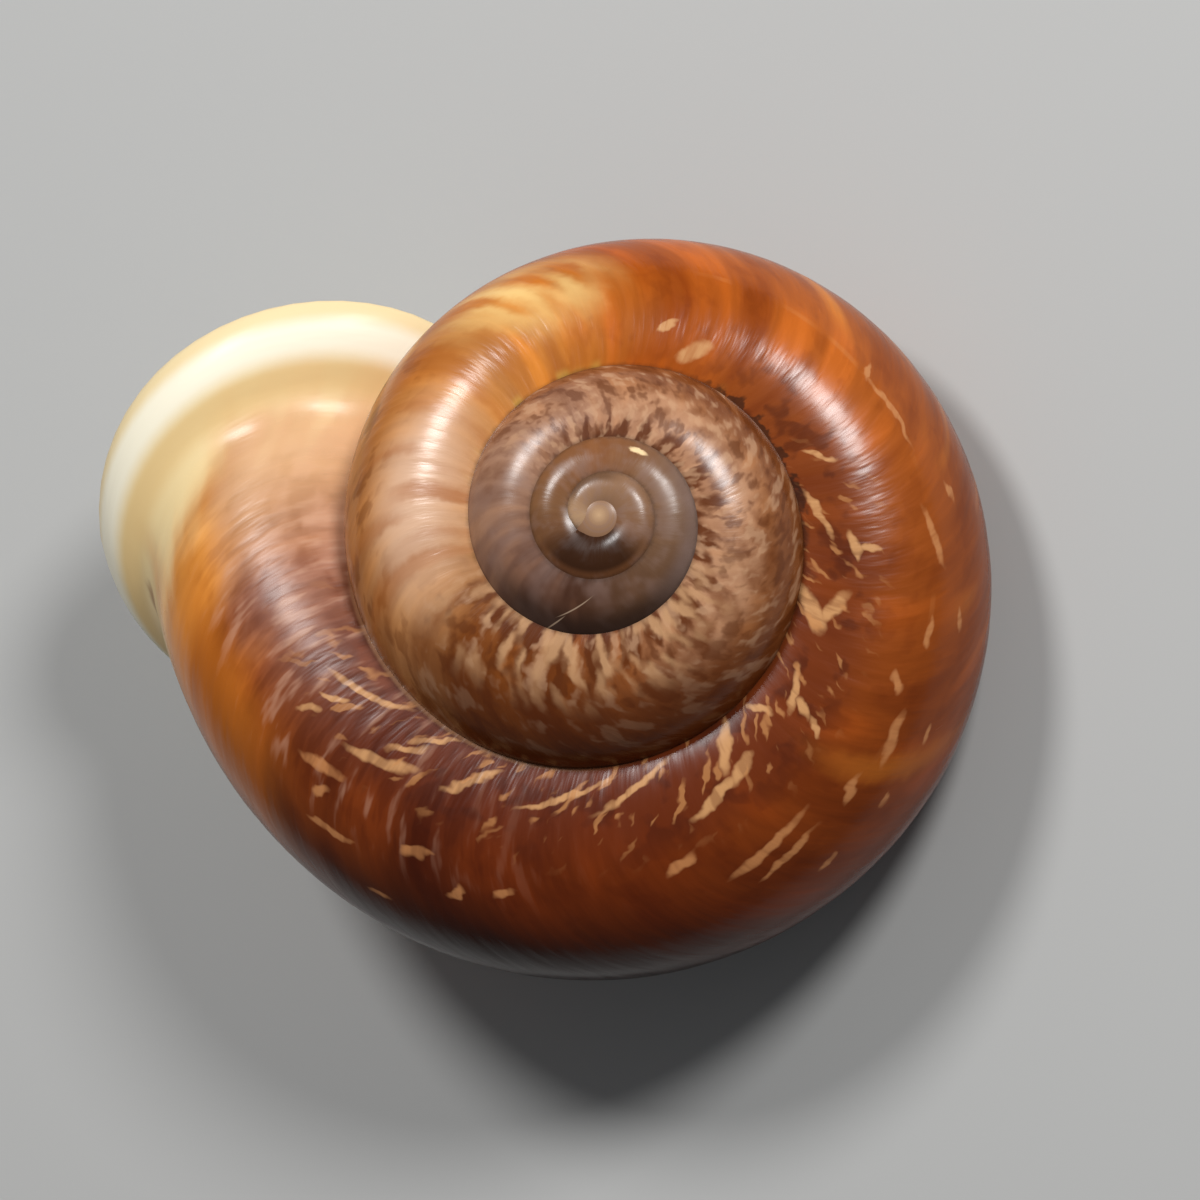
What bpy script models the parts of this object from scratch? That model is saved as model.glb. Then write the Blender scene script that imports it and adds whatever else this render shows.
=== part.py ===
"""Shell of a large tropical land snail, at its real size, in metres, +Z up.

The shell is one coiled, nearly round tube that widens as it grows. It is hollow and open at the
mouth, its whorls leave an open umbilicus underneath, and its last stretch drops clear of the
whorl above it. A thick, flared lip rims the slanting mouth, and a short breathing tube stands
in the gap behind the lip. The shell lies on its base, as it rests on a table.

Turns are counted along the coil: turn 0 points to +Y, and each whorl runs clockwise seen from
above the apex, which makes the shell right-handed.
"""

import math

import bmesh
import bpy
import numpy as np
from mathutils import Matrix, Vector

MM = 0.001

# Coil: turn, distance of the tube's centre from the coiling axis and tube radius (mm)
GROWTH_STATIONS = (
    (-3.40, 0.60, 0.56),
    (-3.00, 1.04, 0.92),
    (-2.00, 1.90, 1.68),
    (-1.50, 2.58, 2.34),
    (-1.00, 3.20, 3.10),
    (-0.75, 3.90, 3.60),
    (-0.50, 4.95, 4.15),
    (-0.25, 5.95, 4.50),
    (0.00, 6.75, 4.80),
    (0.25, 8.60, 5.35),
    (0.50, 10.60, 5.90),
    (0.70, 11.85, 6.30),
    (0.79, 13.25, 6.45),
    (0.90, 14.15, 6.60),
)
FIRST_CHAMBER_RADIUS = 0.66
FIRST_CHAMBER_DEPTH = 0.80
SECTION_FLATNESS = 0.80  # height of the tube over its width
FREE_SECTION_FLATNESS = 0.93  # where the last whorl runs free to the mouth
FREE_START_TURN = 0.58
DEPTH_AT_TURN_0 = 6.08  # tube centre below the apex
DEPTH_GROWTH = 1.9  # per whorl
END_DROP = 2.6  # extra drop of the tube's centre at the mouth
END_DROP_START = 0.60

# Mouth
MOUTH_TURN = 0.780
MOUTH_LEAN_DEG = 52.0  # top of the mouth leans forward over its foot
MOUTH_OUTWARD_DEG = 26.5
# Lip profile: distance along the tube from the mouth, distance outward from the tube
LIP_PROFILE = (
    (-3.4, 0.00),
    (-2.6, 0.10),
    (-2.0, 0.45),
    (-1.6, 1.00),
    (-1.1, 1.52),
    (-0.5, 1.83),
    (0.05, 1.90),
    (0.45, 1.70),
    (0.60, 1.25),
    (0.52, 0.75),
    (0.42, 0.35),
    (0.62, -0.05),
    (0.50, -0.50),
    (0.10, -0.80),
    (-0.90, -0.90),
)
PARIETAL_FLARE = 0.85  # share of the flare on the side towards the whorl above
FOOT_FLARE = 0.85

# Wall
WALL_BASE = 0.10
WALL_PER_RADIUS = 0.10
WALL_BURIED = 0.5  # share of the older wall that a newer whorl is sunk into
SOLID_BURIED = 0.35  # share of the tube's radius, where the older whorl is solid
CALLUS = 0.12  # lining laid over the older whorl inside the newer one
HOLLOW_BACK_TO_TURN = -0.90
THINNING_TURNS = 0.5, 0.1  # the older wall goes from solid to hollow between these, before that turn
START_CAP = 0.6  # share of the tube's radius by which its rounded start reaches back
HOLLOW_CAP = 0.5

# Growth lines slant forward over the top of the tube, less so on the first whorls
GROWTH_SLANT_DEG = 39.0
EARLY_SLANT = 0.10
FULL_SLANT_TURN = -0.25
MOUTH_SLANT_TURNS = 0.20  # stretch over which they turn into the mouth's own slant

# Breathing tube behind the lip
BREATHING_TUBE_RADIUS = 0.75
BREATHING_BORE_RADIUS = 0.40
BREATHING_TUBE_LENGTH = 2.2
BREATHING_TUBE_BACK = 3.6
BREATHING_TUBE_ANGLE_DEG = 150.0
BREATHING_TUBE_BEND_DEG = 40.0
BREATHING_TUBE_ROOT = 0.5
BORE_OVERRUN = 0.6, 1.0  # how far the bore runs past the tube, in steps of its path
BREATHING_TUBE_STEPS = 6
BREATHING_TUBE_SIDES = 14

# How the shell lies
REST_LEAN_DEG = 18.9
REST_LEAN_TOWARD_DEG = 67.0
FLAT_SPOT_DEPTH = 0.12
FLOOR_SIDE = 80.0
FLOOR_DEPTH = 10.0

# Fineness of the faceted solid
POINTS_AROUND = 30
RINGS_PER_WHORL = ((-2.5, 14), (-1.0, 20), (1.0, 30))
HOLLOW_RINGS_PER_WHORL = 20
LEAST_GAP = 0.6  # between the last ring and the lip, in ring steps

SHARP_FROM_DEG = 50.0

SHELL_COLOR = (0.33, 0.13, 0.045, 1.0)
SHELL_ROUGHNESS = 0.32

START_TURN = GROWTH_STATIONS[0][0]


def natural_spline(knots, values):
    """A smooth curve through the values, as a function of the knot variable."""
    x = np.array(knots, float)
    y = np.array(values, float)
    step = np.diff(x)
    count = len(x)
    rows = np.zeros((count, count))
    right = np.zeros(count)
    rows[0, 0] = rows[-1, -1] = 1.0
    for i in range(1, count - 1):
        rows[i, i - 1 : i + 2] = step[i - 1], 2.0 * (step[i - 1] + step[i]), step[i]
        right[i] = 6.0 * ((y[i + 1] - y[i]) / step[i] - (y[i] - y[i - 1]) / step[i - 1])
    bend = np.linalg.solve(rows, right)

    def curve(at):
        i = int(np.clip(np.searchsorted(x, at) - 1, 0, count - 2))
        before = (x[i + 1] - at) / step[i]
        after = (at - x[i]) / step[i]
        cubic = (before**3 - before) * bend[i] + (after**3 - after) * bend[i + 1]
        return before * y[i] + after * y[i + 1] + cubic * step[i] ** 2 / 6.0

    return curve


TURNS, SPIRAL_RADII, TUBE_RADII = zip(*GROWTH_STATIONS)
log_spiral_radius = natural_spline(TURNS, np.log(SPIRAL_RADII))
log_tube_radius = natural_spline(TURNS, np.log(TUBE_RADII))


def spiral_radius(turn):
    return math.exp(log_spiral_radius(turn))


def tube_radius(turn):
    return math.exp(log_tube_radius(turn))


def wall(turn):
    return WALL_BASE + WALL_PER_RADIUS * tube_radius(turn)


def centre_height(turn):
    """Height of the tube's centre, zero at the apex and falling as the shell grows."""
    reach = max(0.0, (turn - END_DROP_START) / (MOUTH_TURN - END_DROP_START))
    drop = END_DROP * (reach * reach if reach < 1.0 else 2.0 * reach - 1.0)
    return -DEPTH_AT_TURN_0 * DEPTH_GROWTH**turn - drop


def outward(turn):
    angle = 2.0 * math.pi * turn
    return Vector((math.sin(angle), math.cos(angle), 0.0))


def forward(turn):
    angle = 2.0 * math.pi * turn
    return Vector((math.cos(angle), -math.sin(angle), 0.0))


def centre(turn):
    return outward(turn) * spiral_radius(turn) + Vector((0.0, 0.0, centre_height(turn)))


def smooth_share(value, start, end):
    share = min(1.0, max(0.0, (value - start) / (end - start)))
    return share * share * (3.0 - 2.0 * share)


def flatness(turn):
    free = smooth_share(turn, FREE_START_TURN, MOUTH_TURN)
    return SECTION_FLATNESS + (FREE_SECTION_FLATNESS - SECTION_FLATNESS) * free


def section_point(turn, angle, radius):
    """Point of the tube's section; angle 0 points away from the axis and 90 degrees up."""
    across = outward(turn) * math.cos(angle)
    up = Vector((0.0, 0.0, flatness(turn) * math.sin(angle)))
    return centre(turn) + (across + up) * radius


def reach_to_older_whorl(turn, angle, older_radius):
    """Radius at which a section meets the whorl before it, or None if it is clear of it."""
    older_flatness = flatness(turn - 1.0)
    rise = (centre_height(turn) - centre_height(turn - 1.0)) / older_flatness
    gap = Vector((spiral_radius(turn) - spiral_radius(turn - 1.0), rise))
    ray = Vector((math.cos(angle), math.sin(angle) * flatness(turn) / older_flatness))
    along = gap.dot(ray)
    inside = along * along - ray.length_squared * (gap.length_squared - older_radius**2)
    if inside <= 0.0 or -along - math.sqrt(inside) <= 0.0:
        return None
    return (-along - math.sqrt(inside)) / ray.length_squared


def fitted_radius(turn, angle, radius, older_offset):
    """The radius, cut short where the section meets the older whorl."""
    if turn - 1.0 < START_TURN:
        return radius
    met = reach_to_older_whorl(turn, angle, tube_radius(turn - 1.0) + older_offset)
    return radius if met is None else min(radius, met)


def mouth_normal():
    lean = math.radians(MOUTH_LEAN_DEG)
    aside = math.radians(MOUTH_OUTWARD_DEG)
    level = forward(MOUTH_TURN) * math.cos(aside) + outward(MOUTH_TURN) * math.sin(aside)
    return level * math.cos(lean) - Vector((0.0, 0.0, math.sin(lean)))


def mouth_lead(angle):
    """How many turns ahead of its centre the mouth's plane cuts the tube at this angle."""
    normal = mouth_normal()
    middle = centre(MOUTH_TURN)
    low, high = -0.22, 0.22
    for _ in range(40):
        lead = 0.5 * (low + high)
        turn = MOUTH_TURN + lead
        if (section_point(turn, angle, tube_radius(turn)) - middle).dot(normal) < 0.0:
            low = lead
        else:
            high = lead
    return lead


ANGLES = [2.0 * math.pi * i / POINTS_AROUND for i in range(POINTS_AROUND)]
MOUTH_LEADS = [mouth_lead(angle) for angle in ANGLES]


def growth_lead(turn, angle, at_mouth):
    """How many turns ahead of its centre a growth line runs at this angle."""
    early = EARLY_SLANT + (1.0 - EARLY_SLANT) * smooth_share(turn, START_TURN, FULL_SLANT_TURN)
    rise = flatness(turn) * tube_radius(turn) * math.sin(angle)
    ahead = rise * math.tan(math.radians(GROWTH_SLANT_DEG)) * early
    lead = ahead / (2.0 * math.pi * spiral_radius(turn))
    near_mouth = smooth_share(turn, MOUTH_TURN - MOUTH_SLANT_TURNS, MOUTH_TURN)
    return lead + (at_mouth - lead) * near_mouth


def tube_ring(turn, inset, older_offset):
    """One growth line round the tube, inset from its outer face."""
    ring = []
    for angle, at_mouth in zip(ANGLES, MOUTH_LEADS):
        here = turn + growth_lead(turn, angle, at_mouth)
        radius = tube_radius(here) - inset
        radius = fitted_radius(here, angle, radius, older_offset(here))
        ring.append(section_point(here, angle, radius))
    return ring


def flare_share(angle):
    """Full flare over the free side, less beside the whorl above and at the foot."""
    degrees = math.degrees(angle) % 360.0
    beside = 1.0 - smooth_share(abs(degrees - 175.0), 25.0, 75.0)
    foot = 1.0 - smooth_share(abs(degrees - 300.0), 20.0, 70.0)
    return 1.0 - (1.0 - PARIETAL_FLARE) * beside - (1.0 - FOOT_FLARE) * foot


def lip_ring(along, out):
    """One line round the lip, at a place on its profile."""
    turn = MOUTH_TURN + along / (2.0 * math.pi * spiral_radius(MOUTH_TURN))
    normal = mouth_normal()
    ring = []
    for angle, at_mouth in zip(ANGLES, MOUTH_LEADS):
        here = turn + growth_lead(turn, angle, at_mouth)
        on_tube = section_point(here, angle, tube_radius(here))
        away = on_tube - centre(turn)
        away -= normal * away.dot(normal)
        share = flare_share(angle) if out > 0.0 else 1.0
        ring.append(on_tube + away.normalized() * out * share)
    return ring


def growth_turns():
    """Turns of the outer rings, from the first whorl to the foot of the lip."""
    last = MOUTH_TURN + LIP_PROFILE[0][0] / (2.0 * math.pi * spiral_radius(MOUTH_TURN))
    turns = []
    turn = START_TURN
    for until, per_whorl in RINGS_PER_WHORL:
        while turn < min(until, last - LEAST_GAP / per_whorl):
            turns.append(turn)
            turn += 1.0 / per_whorl
    return turns


def hollow_turns():
    first = MOUTH_TURN + LIP_PROFILE[-1][0] / (2.0 * math.pi * spiral_radius(MOUTH_TURN))
    count = round((first - HOLLOW_BACK_TO_TURN) * HOLLOW_RINGS_PER_WHORL)
    step = (first - HOLLOW_BACK_TO_TURN) / count
    return [first - step * (i + 1) for i in range(count)]


def shell_rings():
    """All rings in order: outer face, over the lip, and back along the hollow."""
    def buried(turn):
        older = turn - 1.0
        solid, hollow = THINNING_TURNS
        over_hollow = smooth_share(older, HOLLOW_BACK_TO_TURN - solid, HOLLOW_BACK_TO_TURN - hollow)
        deep = SOLID_BURIED * tube_radius(older)
        return -deep - (WALL_BURIED * wall(older) - deep) * over_hollow

    def lined(turn):
        return CALLUS

    rings = [tube_ring(turn, 0.0, buried) for turn in growth_turns()]
    rings += [lip_ring(along, out) for along, out in LIP_PROFILE]
    rings += [tube_ring(turn, wall(turn), lined) for turn in hollow_turns()]
    return rings


def closed_mesh(name, rings, first_pole, last_pole):
    """Skins the rings in order and closes both ends with a fan."""
    around = len(rings[0])
    points = [first_pole, *[point for ring in rings for point in ring], last_pole]
    faces = [(0, 1 + (i + 1) % around, 1 + i) for i in range(around)]
    for row in range(len(rings) - 1):
        for i in range(around):
            a = 1 + row * around + i
            b = 1 + row * around + (i + 1) % around
            faces.append((a, b, b + around, a + around))
    start = 1 + (len(rings) - 1) * around
    faces += [(len(points) - 1, start + i, start + (i + 1) % around) for i in range(around)]
    mesh = bpy.data.meshes.new(name)
    mesh.from_pydata([point * MM for point in points], [], faces)
    work = bmesh.new()
    work.from_mesh(mesh)
    bmesh.ops.triangulate(work, faces=work.faces)
    bmesh.ops.recalc_face_normals(work, faces=work.faces)
    work.to_mesh(mesh)
    work.free()
    return mesh


def make_object(name, mesh):
    item = bpy.data.objects.new(name, mesh)
    bpy.context.scene.collection.objects.link(item)
    return item


def make_shell_body():
    rings = shell_rings()
    tip = centre(START_TURN) - forward(START_TURN) * START_CAP * tube_radius(START_TURN)
    back = HOLLOW_BACK_TO_TURN
    hollow_end = centre(back) - forward(back) * HOLLOW_CAP * tube_radius(back)
    return make_object("shell", closed_mesh("shell", rings, tip, hollow_end))


def make_first_chamber():
    """The rounded chamber that the coil starts from, which closes it over its axis."""
    mesh = bpy.data.meshes.new("first chamber")
    work = bmesh.new()
    bmesh.ops.create_icosphere(work, subdivisions=3, radius=FIRST_CHAMBER_RADIUS * MM)
    place = Matrix.Translation((0.0, 0.0, -FIRST_CHAMBER_DEPTH * MM))
    bmesh.ops.transform(work, matrix=place, verts=work.verts)
    work.to_mesh(mesh)
    work.free()
    return make_object("first chamber", mesh)


def breathing_tube_path():
    """Centre points of the breathing tube, from inside the whorl out and then backwards."""
    angle = math.radians(BREATHING_TUBE_ANGLE_DEG)
    back = BREATHING_TUBE_BACK / (2.0 * math.pi * spiral_radius(MOUTH_TURN))
    turn = MOUTH_TURN + mouth_lead(angle) - back
    foot = section_point(turn, angle, tube_radius(turn))
    away = (foot - centre(turn)).normalized()
    backwards = -forward(turn)
    path = []
    for i in range(BREATHING_TUBE_STEPS + 1):
        share = i / BREATHING_TUBE_STEPS
        bend = math.radians(BREATHING_TUBE_BEND_DEG) * share
        if i == 0:
            point = foot - away * BREATHING_TUBE_ROOT
        else:
            heading = away * math.cos(bend) + backwards * math.sin(bend)
            length = BREATHING_TUBE_ROOT if i == 1 else 0.0
            length += BREATHING_TUBE_LENGTH / BREATHING_TUBE_STEPS
            point = path[-1] + heading * length
        path.append(point)
    return path


def pipe_mesh(name, path, radius):
    """A capped round bar along the path."""
    rings = []
    for i, point in enumerate(path):
        heading = path[min(i + 1, len(path) - 1)] - path[max(i - 1, 0)]
        side = heading.cross(Vector((0.0, 0.0, 1.0))).normalized()
        over = side.cross(heading).normalized()
        ring = []
        for k in range(BREATHING_TUBE_SIDES):
            around = 2.0 * math.pi * k / BREATHING_TUBE_SIDES
            ring.append(point + (side * math.cos(around) + over * math.sin(around)) * radius)
        rings.append(ring)
    return closed_mesh(name, rings, path[0], path[-1])


def combine(target, other, operation):
    step = target.modifiers.new(other.name, "BOOLEAN")
    step.operation = operation
    step.object = other
    step.solver = "EXACT"
    step.use_self = True
    other.hide_render = True
    other.display_type = "WIRE"


def largest_piece(mesh):
    """Drops the specks that the crossing whorls shut in where they meet."""
    work = bmesh.new()
    work.from_mesh(mesh)
    unseen = set(work.faces)
    pieces = []
    while unseen:
        piece = {unseen.pop()}
        edge = list(piece)
        while edge:
            face = edge.pop()
            for near in {other for side in face.edges for other in side.link_faces} & unseen:
                unseen.discard(near)
                piece.add(near)
                edge.append(near)
        pieces.append(piece)
    pieces.sort(key=len)
    specks = [face for piece in pieces[:-1] for face in piece]
    bmesh.ops.delete(work, geom=specks, context="FACES")
    work.to_mesh(mesh)
    work.free()
    return mesh


def finished_mesh(item):
    """The object's mesh with its modifiers carried out."""
    bpy.context.view_layer.update()
    graph = bpy.context.evaluated_depsgraph_get()
    return bpy.data.meshes.new_from_object(item.evaluated_get(graph))


def lay_down(mesh):
    """Leans the coil to its resting attitude and puts the footprint's middle at the origin."""
    lean_toward = outward(REST_LEAN_TOWARD_DEG / 360.0)
    pivot = Vector((0.0, 0.0, 1.0)).cross(lean_toward)
    mesh.transform(Matrix.Rotation(math.radians(REST_LEAN_DEG), 4, pivot))
    corners = np.array([vertex.co for vertex in mesh.vertices])
    low, high = corners.min(axis=0), corners.max(axis=0)
    floor = low[2] + FLAT_SPOT_DEPTH * MM
    middle = Vector(((low[0] + high[0]) / 2.0, (low[1] + high[1]) / 2.0, floor))
    mesh.transform(Matrix.Translation(-middle))
    return mesh


def make_floor_cutter():
    """A slab whose top is the plane that the shell rests on."""
    mesh = bpy.data.meshes.new("floor")
    work = bmesh.new()
    bmesh.ops.create_cube(work, size=1.0)
    bmesh.ops.scale(work, vec=(FLOOR_SIDE * MM, FLOOR_SIDE * MM, FLOOR_DEPTH * MM), verts=work.verts)
    bmesh.ops.translate(work, vec=(0.0, 0.0, -0.5 * FLOOR_DEPTH * MM), verts=work.verts)
    work.to_mesh(mesh)
    work.free()
    return make_object("floor", mesh)


def shell_material():
    material = bpy.data.materials.new("shell")
    material.use_nodes = True
    surface = material.node_tree.nodes["Principled BSDF"]
    surface.inputs["Base Color"].default_value = SHELL_COLOR
    surface.inputs["Roughness"].default_value = SHELL_ROUGHNESS
    surface.inputs["Metallic"].default_value = 0.0
    return material


def main():
    for item in list(bpy.data.objects):
        bpy.data.objects.remove(item)
    shell = make_shell_body()
    path = breathing_tube_path()
    tube = make_object("breathing tube", pipe_mesh("breathing tube", path, BREATHING_TUBE_RADIUS))
    inner, outer = BORE_OVERRUN
    bore_start = path[0] - (path[1] - path[0]) * inner
    bore_end = path[-1] + (path[-1] - path[-2]) * outer
    longer = [bore_start, *path, bore_end]
    bore = make_object("breathing bore", pipe_mesh("breathing bore", longer, BREATHING_BORE_RADIUS))
    chamber = make_first_chamber()
    combine(shell, chamber, "UNION")
    combine(shell, tube, "UNION")
    combine(shell, bore, "DIFFERENCE")
    whole = lay_down(largest_piece(finished_mesh(shell)))
    shell.modifiers.clear()
    for helper in (chamber, tube, bore):
        bpy.data.objects.remove(helper)
    shell.data = whole
    combine(shell, make_floor_cutter(), "DIFFERENCE")
    shell.data.materials.clear()
    shell.data.materials.append(shell_material())
    shell.data.shade_smooth()
    shell.data.set_sharp_from_angle(angle=math.radians(SHARP_FROM_DEG))


if __name__ == "__main__":
    main()
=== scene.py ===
"""Shell of a large tropical land snail, finished to its surface.

The coil is built from the same growth measures as the solid, much finer: outer face, flared lip,
hollow and breathing tube in one skin. Growth ridges follow its surface. The skin's pattern is
painted in the shell's own places: how far it has grown, and the angle round the tube.
"""

import math

import bmesh
import bpy
import numpy as np
from mathutils import Matrix, Vector


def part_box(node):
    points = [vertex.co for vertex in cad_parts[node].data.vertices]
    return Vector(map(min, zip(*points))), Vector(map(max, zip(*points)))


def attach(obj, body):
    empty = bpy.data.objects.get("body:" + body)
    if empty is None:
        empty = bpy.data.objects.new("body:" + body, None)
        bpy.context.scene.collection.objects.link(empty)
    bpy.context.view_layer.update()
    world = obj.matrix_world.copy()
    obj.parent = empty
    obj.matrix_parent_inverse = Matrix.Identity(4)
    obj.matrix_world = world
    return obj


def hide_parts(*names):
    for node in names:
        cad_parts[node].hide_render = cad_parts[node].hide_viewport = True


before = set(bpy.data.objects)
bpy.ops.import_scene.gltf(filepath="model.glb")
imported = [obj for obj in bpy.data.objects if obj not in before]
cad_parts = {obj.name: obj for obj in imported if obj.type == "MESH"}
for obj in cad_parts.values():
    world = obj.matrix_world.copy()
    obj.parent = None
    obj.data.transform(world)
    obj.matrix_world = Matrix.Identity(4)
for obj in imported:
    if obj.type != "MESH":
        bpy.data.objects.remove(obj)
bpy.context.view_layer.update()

MM = 0.001  # in metres; the measures below are in millimetres and turns

# Coil: turn, distance of the tube's centre from the coiling axis, and tube radius
GROWTH_STATIONS = (
    (-3.40, 0.60, 0.56),
    (-3.00, 1.04, 0.92),
    (-2.00, 1.90, 1.68),
    (-1.50, 2.58, 2.34),
    (-1.00, 3.20, 3.10),
    (-0.75, 3.90, 3.60),
    (-0.50, 4.95, 4.15),
    (-0.25, 5.95, 4.50),
    (0.00, 6.75, 4.80),
    (0.25, 8.60, 5.35),
    (0.50, 10.60, 5.90),
    (0.70, 11.85, 6.30),
    (0.79, 13.25, 6.45),
    (0.90, 14.15, 6.60),
)
START_TURN = GROWTH_STATIONS[0][0]
FIRST_CHAMBER_RADIUS = 1.10
FIRST_CHAMBER_FLATNESS = 0.36
FIRST_CHAMBER_DEPTH = 0.60
FIRST_CHAMBER_GROWTH_PER_MM = 0.6
FIRST_CHAMBER_ANGLE_DEG = 100.0
SECTION_FLATNESS = 0.80
FREE_SECTION_FLATNESS = 0.93
FREE_START_TURN = 0.58
DEPTH_AT_TURN_0 = 6.08
DEPTH_GROWTH = 1.9
END_DROP = 2.6
END_DROP_START = 0.60

# Mouth and lip; the profile is distance along the tube from the mouth, distance outward from it
MOUTH_TURN = 0.780
MOUTH_LEAN_DEG = 52.0
MOUTH_OUTWARD_DEG = 26.5
LONGEST_MOUTH_LEAD = 0.22
LIP_PROFILE = (
    (-3.4, 0.00),
    (-2.6, 0.10),
    (-2.0, 0.45),
    (-1.6, 1.00),
    (-1.1, 1.52),
    (-0.5, 1.83),
    (0.05, 1.90),
    (0.45, 1.70),
    (0.60, 1.25),
    (0.52, 0.75),
    (0.42, 0.35),
    (0.62, -0.05),
    (0.50, -0.50),
    (0.10, -0.80),
    (-0.90, -0.90),
)

# Where the lip flares less, beside the whorl above and at the foot: share of the flare, angle of
# its middle, and how far to each side it is in full and at all (degrees)
LESSER_FLARES = (
    (0.85, 175.0, 25.0, 75.0),
    (0.85, 300.0, 20.0, 70.0),
)

# Wall
WALL_BASE = 0.10
WALL_PER_RADIUS = 0.10
WALL_BURIED = 0.5
SOLID_BURIED = 0.35
CALLUS = 0.12
HOLLOW_BACK_TO_TURN = -0.90
THINNING_TURNS = 0.5, 0.1
START_CAP = 0.05
START_ROUNDING_TURNS = 0.16
LEAST_ROUNDING = 0.02
HOLLOW_CAP = 0.5

# Growth lines slant forward over the top of the tube
GROWTH_SLANT_DEG = 39.0
EARLY_SLANT = 0.10
FULL_SLANT_TURN = -0.25
MOUTH_SLANT_TURNS = 0.20

# Breathing tube behind the lip
BREATHING_TUBE_RADIUS = 0.75
BREATHING_BORE_RADIUS = 0.40
BREATHING_TUBE_LENGTH = 2.2
BREATHING_TUBE_BACK = 3.6
BREATHING_TUBE_ANGLE_DEG = 150.0
BREATHING_TUBE_BEND_DEG = 40.0
BREATHING_TUBE_ROOT = 0.5
BREATHING_TUBE_RIM = 0.10
BREATHING_TUBE_RIM_STEPS = 8
BREATHING_TUBE_STEPS = 24
BREATHING_TUBE_SIDES = 32
BREATHING_BORE_END_STEP = 2

# How the shell lies
REST_LEAN_DEG = 18.9
REST_LEAN_TOWARD_DEG = 67.0

# Fineness; a ring's points are spread over its free side and over what an older whorl covers
FREE_STEPS = 52
COVERED_POINTS = 11
POINTS_AROUND = FREE_STEPS + 1 + COVERED_POINTS
RING_SPACING = 0.16
LEAST_RINGS_PER_TURN = 100
LIP_RINGS = 56
HOLLOW_RINGS_PER_TURN = 90
MOUTH_HALVINGS = 40
SEAM_HALVINGS = 30
CREVICE_REACH = -1.0, 3.0

# Sutures: the turns that have one, where to look for it round the tube, and how deep a ring passes it
SUTURE_TURNS = -2.38, 0.62
SUTURE_SEARCH_DEG = 60.0, 133.0, 205.0
MOUTH_SEAMS_DEG = 104.0, 170.0
MOUTH_SEAMS_FROM_TURN = 0.735
SEAM_DEPTH = 0.03
SINKING_SHARE = 0.25

# Relief of the growth; run is how far along the skin a point is from where the lip starts
WRINKLES_PER_TURN = 46.0
WRINKLE_HEIGHT = 0.050
WRINKLE_SLACK = 0.9
LINES_PER_TURN = 150.0
LINE_HEIGHT = 0.015
LINE_SLACK = 2.6
LIP_FROM_RUN = -0.5
LIP_FADE = 2.0
RELIEF_ON_LIP = 0.15
LINING_FROM_RUN = 8.2
SHARP_DEG = 60.0

# Picture; distances from here on are in metres
MM_PER_PIXEL = 0.038
PICTURE_SIDE = 1200
AXIS_PIXEL = 598.0, 515.0
VIEW_FROM = 0.145, -0.159, 1.0
CAMERA_DISTANCE = 0.60
TARGET_DEPTH = -0.006
CLIP_DISTANCES = 0.05, 10.0
SENSOR = 36.0

# Studio; each light has its direction as the coil stands upright, its size and its power
WORLD_TONE = 0.86, 0.88, 0.92, 1.0
WORLD_STRENGTH = 0.13
FLOOR_TONE = 0.50, 0.50, 0.49, 1.0
FLOOR_ROUGHNESS = 0.9
FLOOR_HALF_SIDE = 3.0
LIGHT_DISTANCE = 0.30
LIGHTS = (
    ("main light", (0.32, 0.40, 0.86), 0.075, 0.56),
    ("second light", (-0.46, 0.46, 0.76), 0.075, 0.50),
)


def natural_spline(knots, values):
    """A smooth curve through the values, as a function of the knot variable."""
    x = np.array(knots, float)
    y = np.array(values, float)
    step = np.diff(x)
    count = len(x)
    rows = np.zeros((count, count))
    right = np.zeros(count)
    rows[0, 0] = rows[-1, -1] = 1.0
    for i in range(1, count - 1):
        rows[i, i - 1 : i + 2] = step[i - 1], 2.0 * (step[i - 1] + step[i]), step[i]
        right[i] = 6.0 * ((y[i + 1] - y[i]) / step[i] - (y[i] - y[i - 1]) / step[i - 1])
    bend = np.linalg.solve(rows, right)

    def curve(at):
        i = np.clip(np.searchsorted(x, at) - 1, 0, count - 2)
        before = (x[i + 1] - at) / step[i]
        after = (at - x[i]) / step[i]
        cubic = (before**3 - before) * bend[i] + (after**3 - after) * bend[i + 1]
        return before * y[i] + after * y[i + 1] + cubic * step[i] ** 2 / 6.0

    return curve


TURNS, SPIRAL_RADII, TUBE_RADII = zip(*GROWTH_STATIONS)
log_spiral_radius = natural_spline(TURNS, np.log(SPIRAL_RADII))
log_tube_radius = natural_spline(TURNS, np.log(TUBE_RADII))


def spiral_radius(turn):
    return np.exp(log_spiral_radius(turn))


def tube_radius(turn):
    return np.exp(log_tube_radius(turn))


def wall(turn):
    return WALL_BASE + WALL_PER_RADIUS * tube_radius(turn)


def smooth_share(value, start, end):
    share = np.clip((value - start) / (end - start), 0.0, 1.0)
    return share * share * (3.0 - 2.0 * share)


def flatness(turn):
    free = smooth_share(turn, FREE_START_TURN, MOUTH_TURN)
    return SECTION_FLATNESS + (FREE_SECTION_FLATNESS - SECTION_FLATNESS) * free


def centre_height(turn):
    """Height of the tube's centre, zero at the apex and falling as the shell grows."""
    reach = np.maximum(0.0, (turn - END_DROP_START) / (MOUTH_TURN - END_DROP_START))
    drop = END_DROP * np.where(reach < 1.0, reach * reach, 2.0 * reach - 1.0)
    return -DEPTH_AT_TURN_0 * DEPTH_GROWTH**turn - drop


def outward(turn):
    angle = 2.0 * math.pi * np.asarray(turn)
    return np.stack([np.sin(angle), np.cos(angle), np.zeros_like(angle)], axis=-1)


def forward(turn):
    angle = 2.0 * math.pi * np.asarray(turn)
    return np.stack([np.cos(angle), -np.sin(angle), np.zeros_like(angle)], axis=-1)


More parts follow.
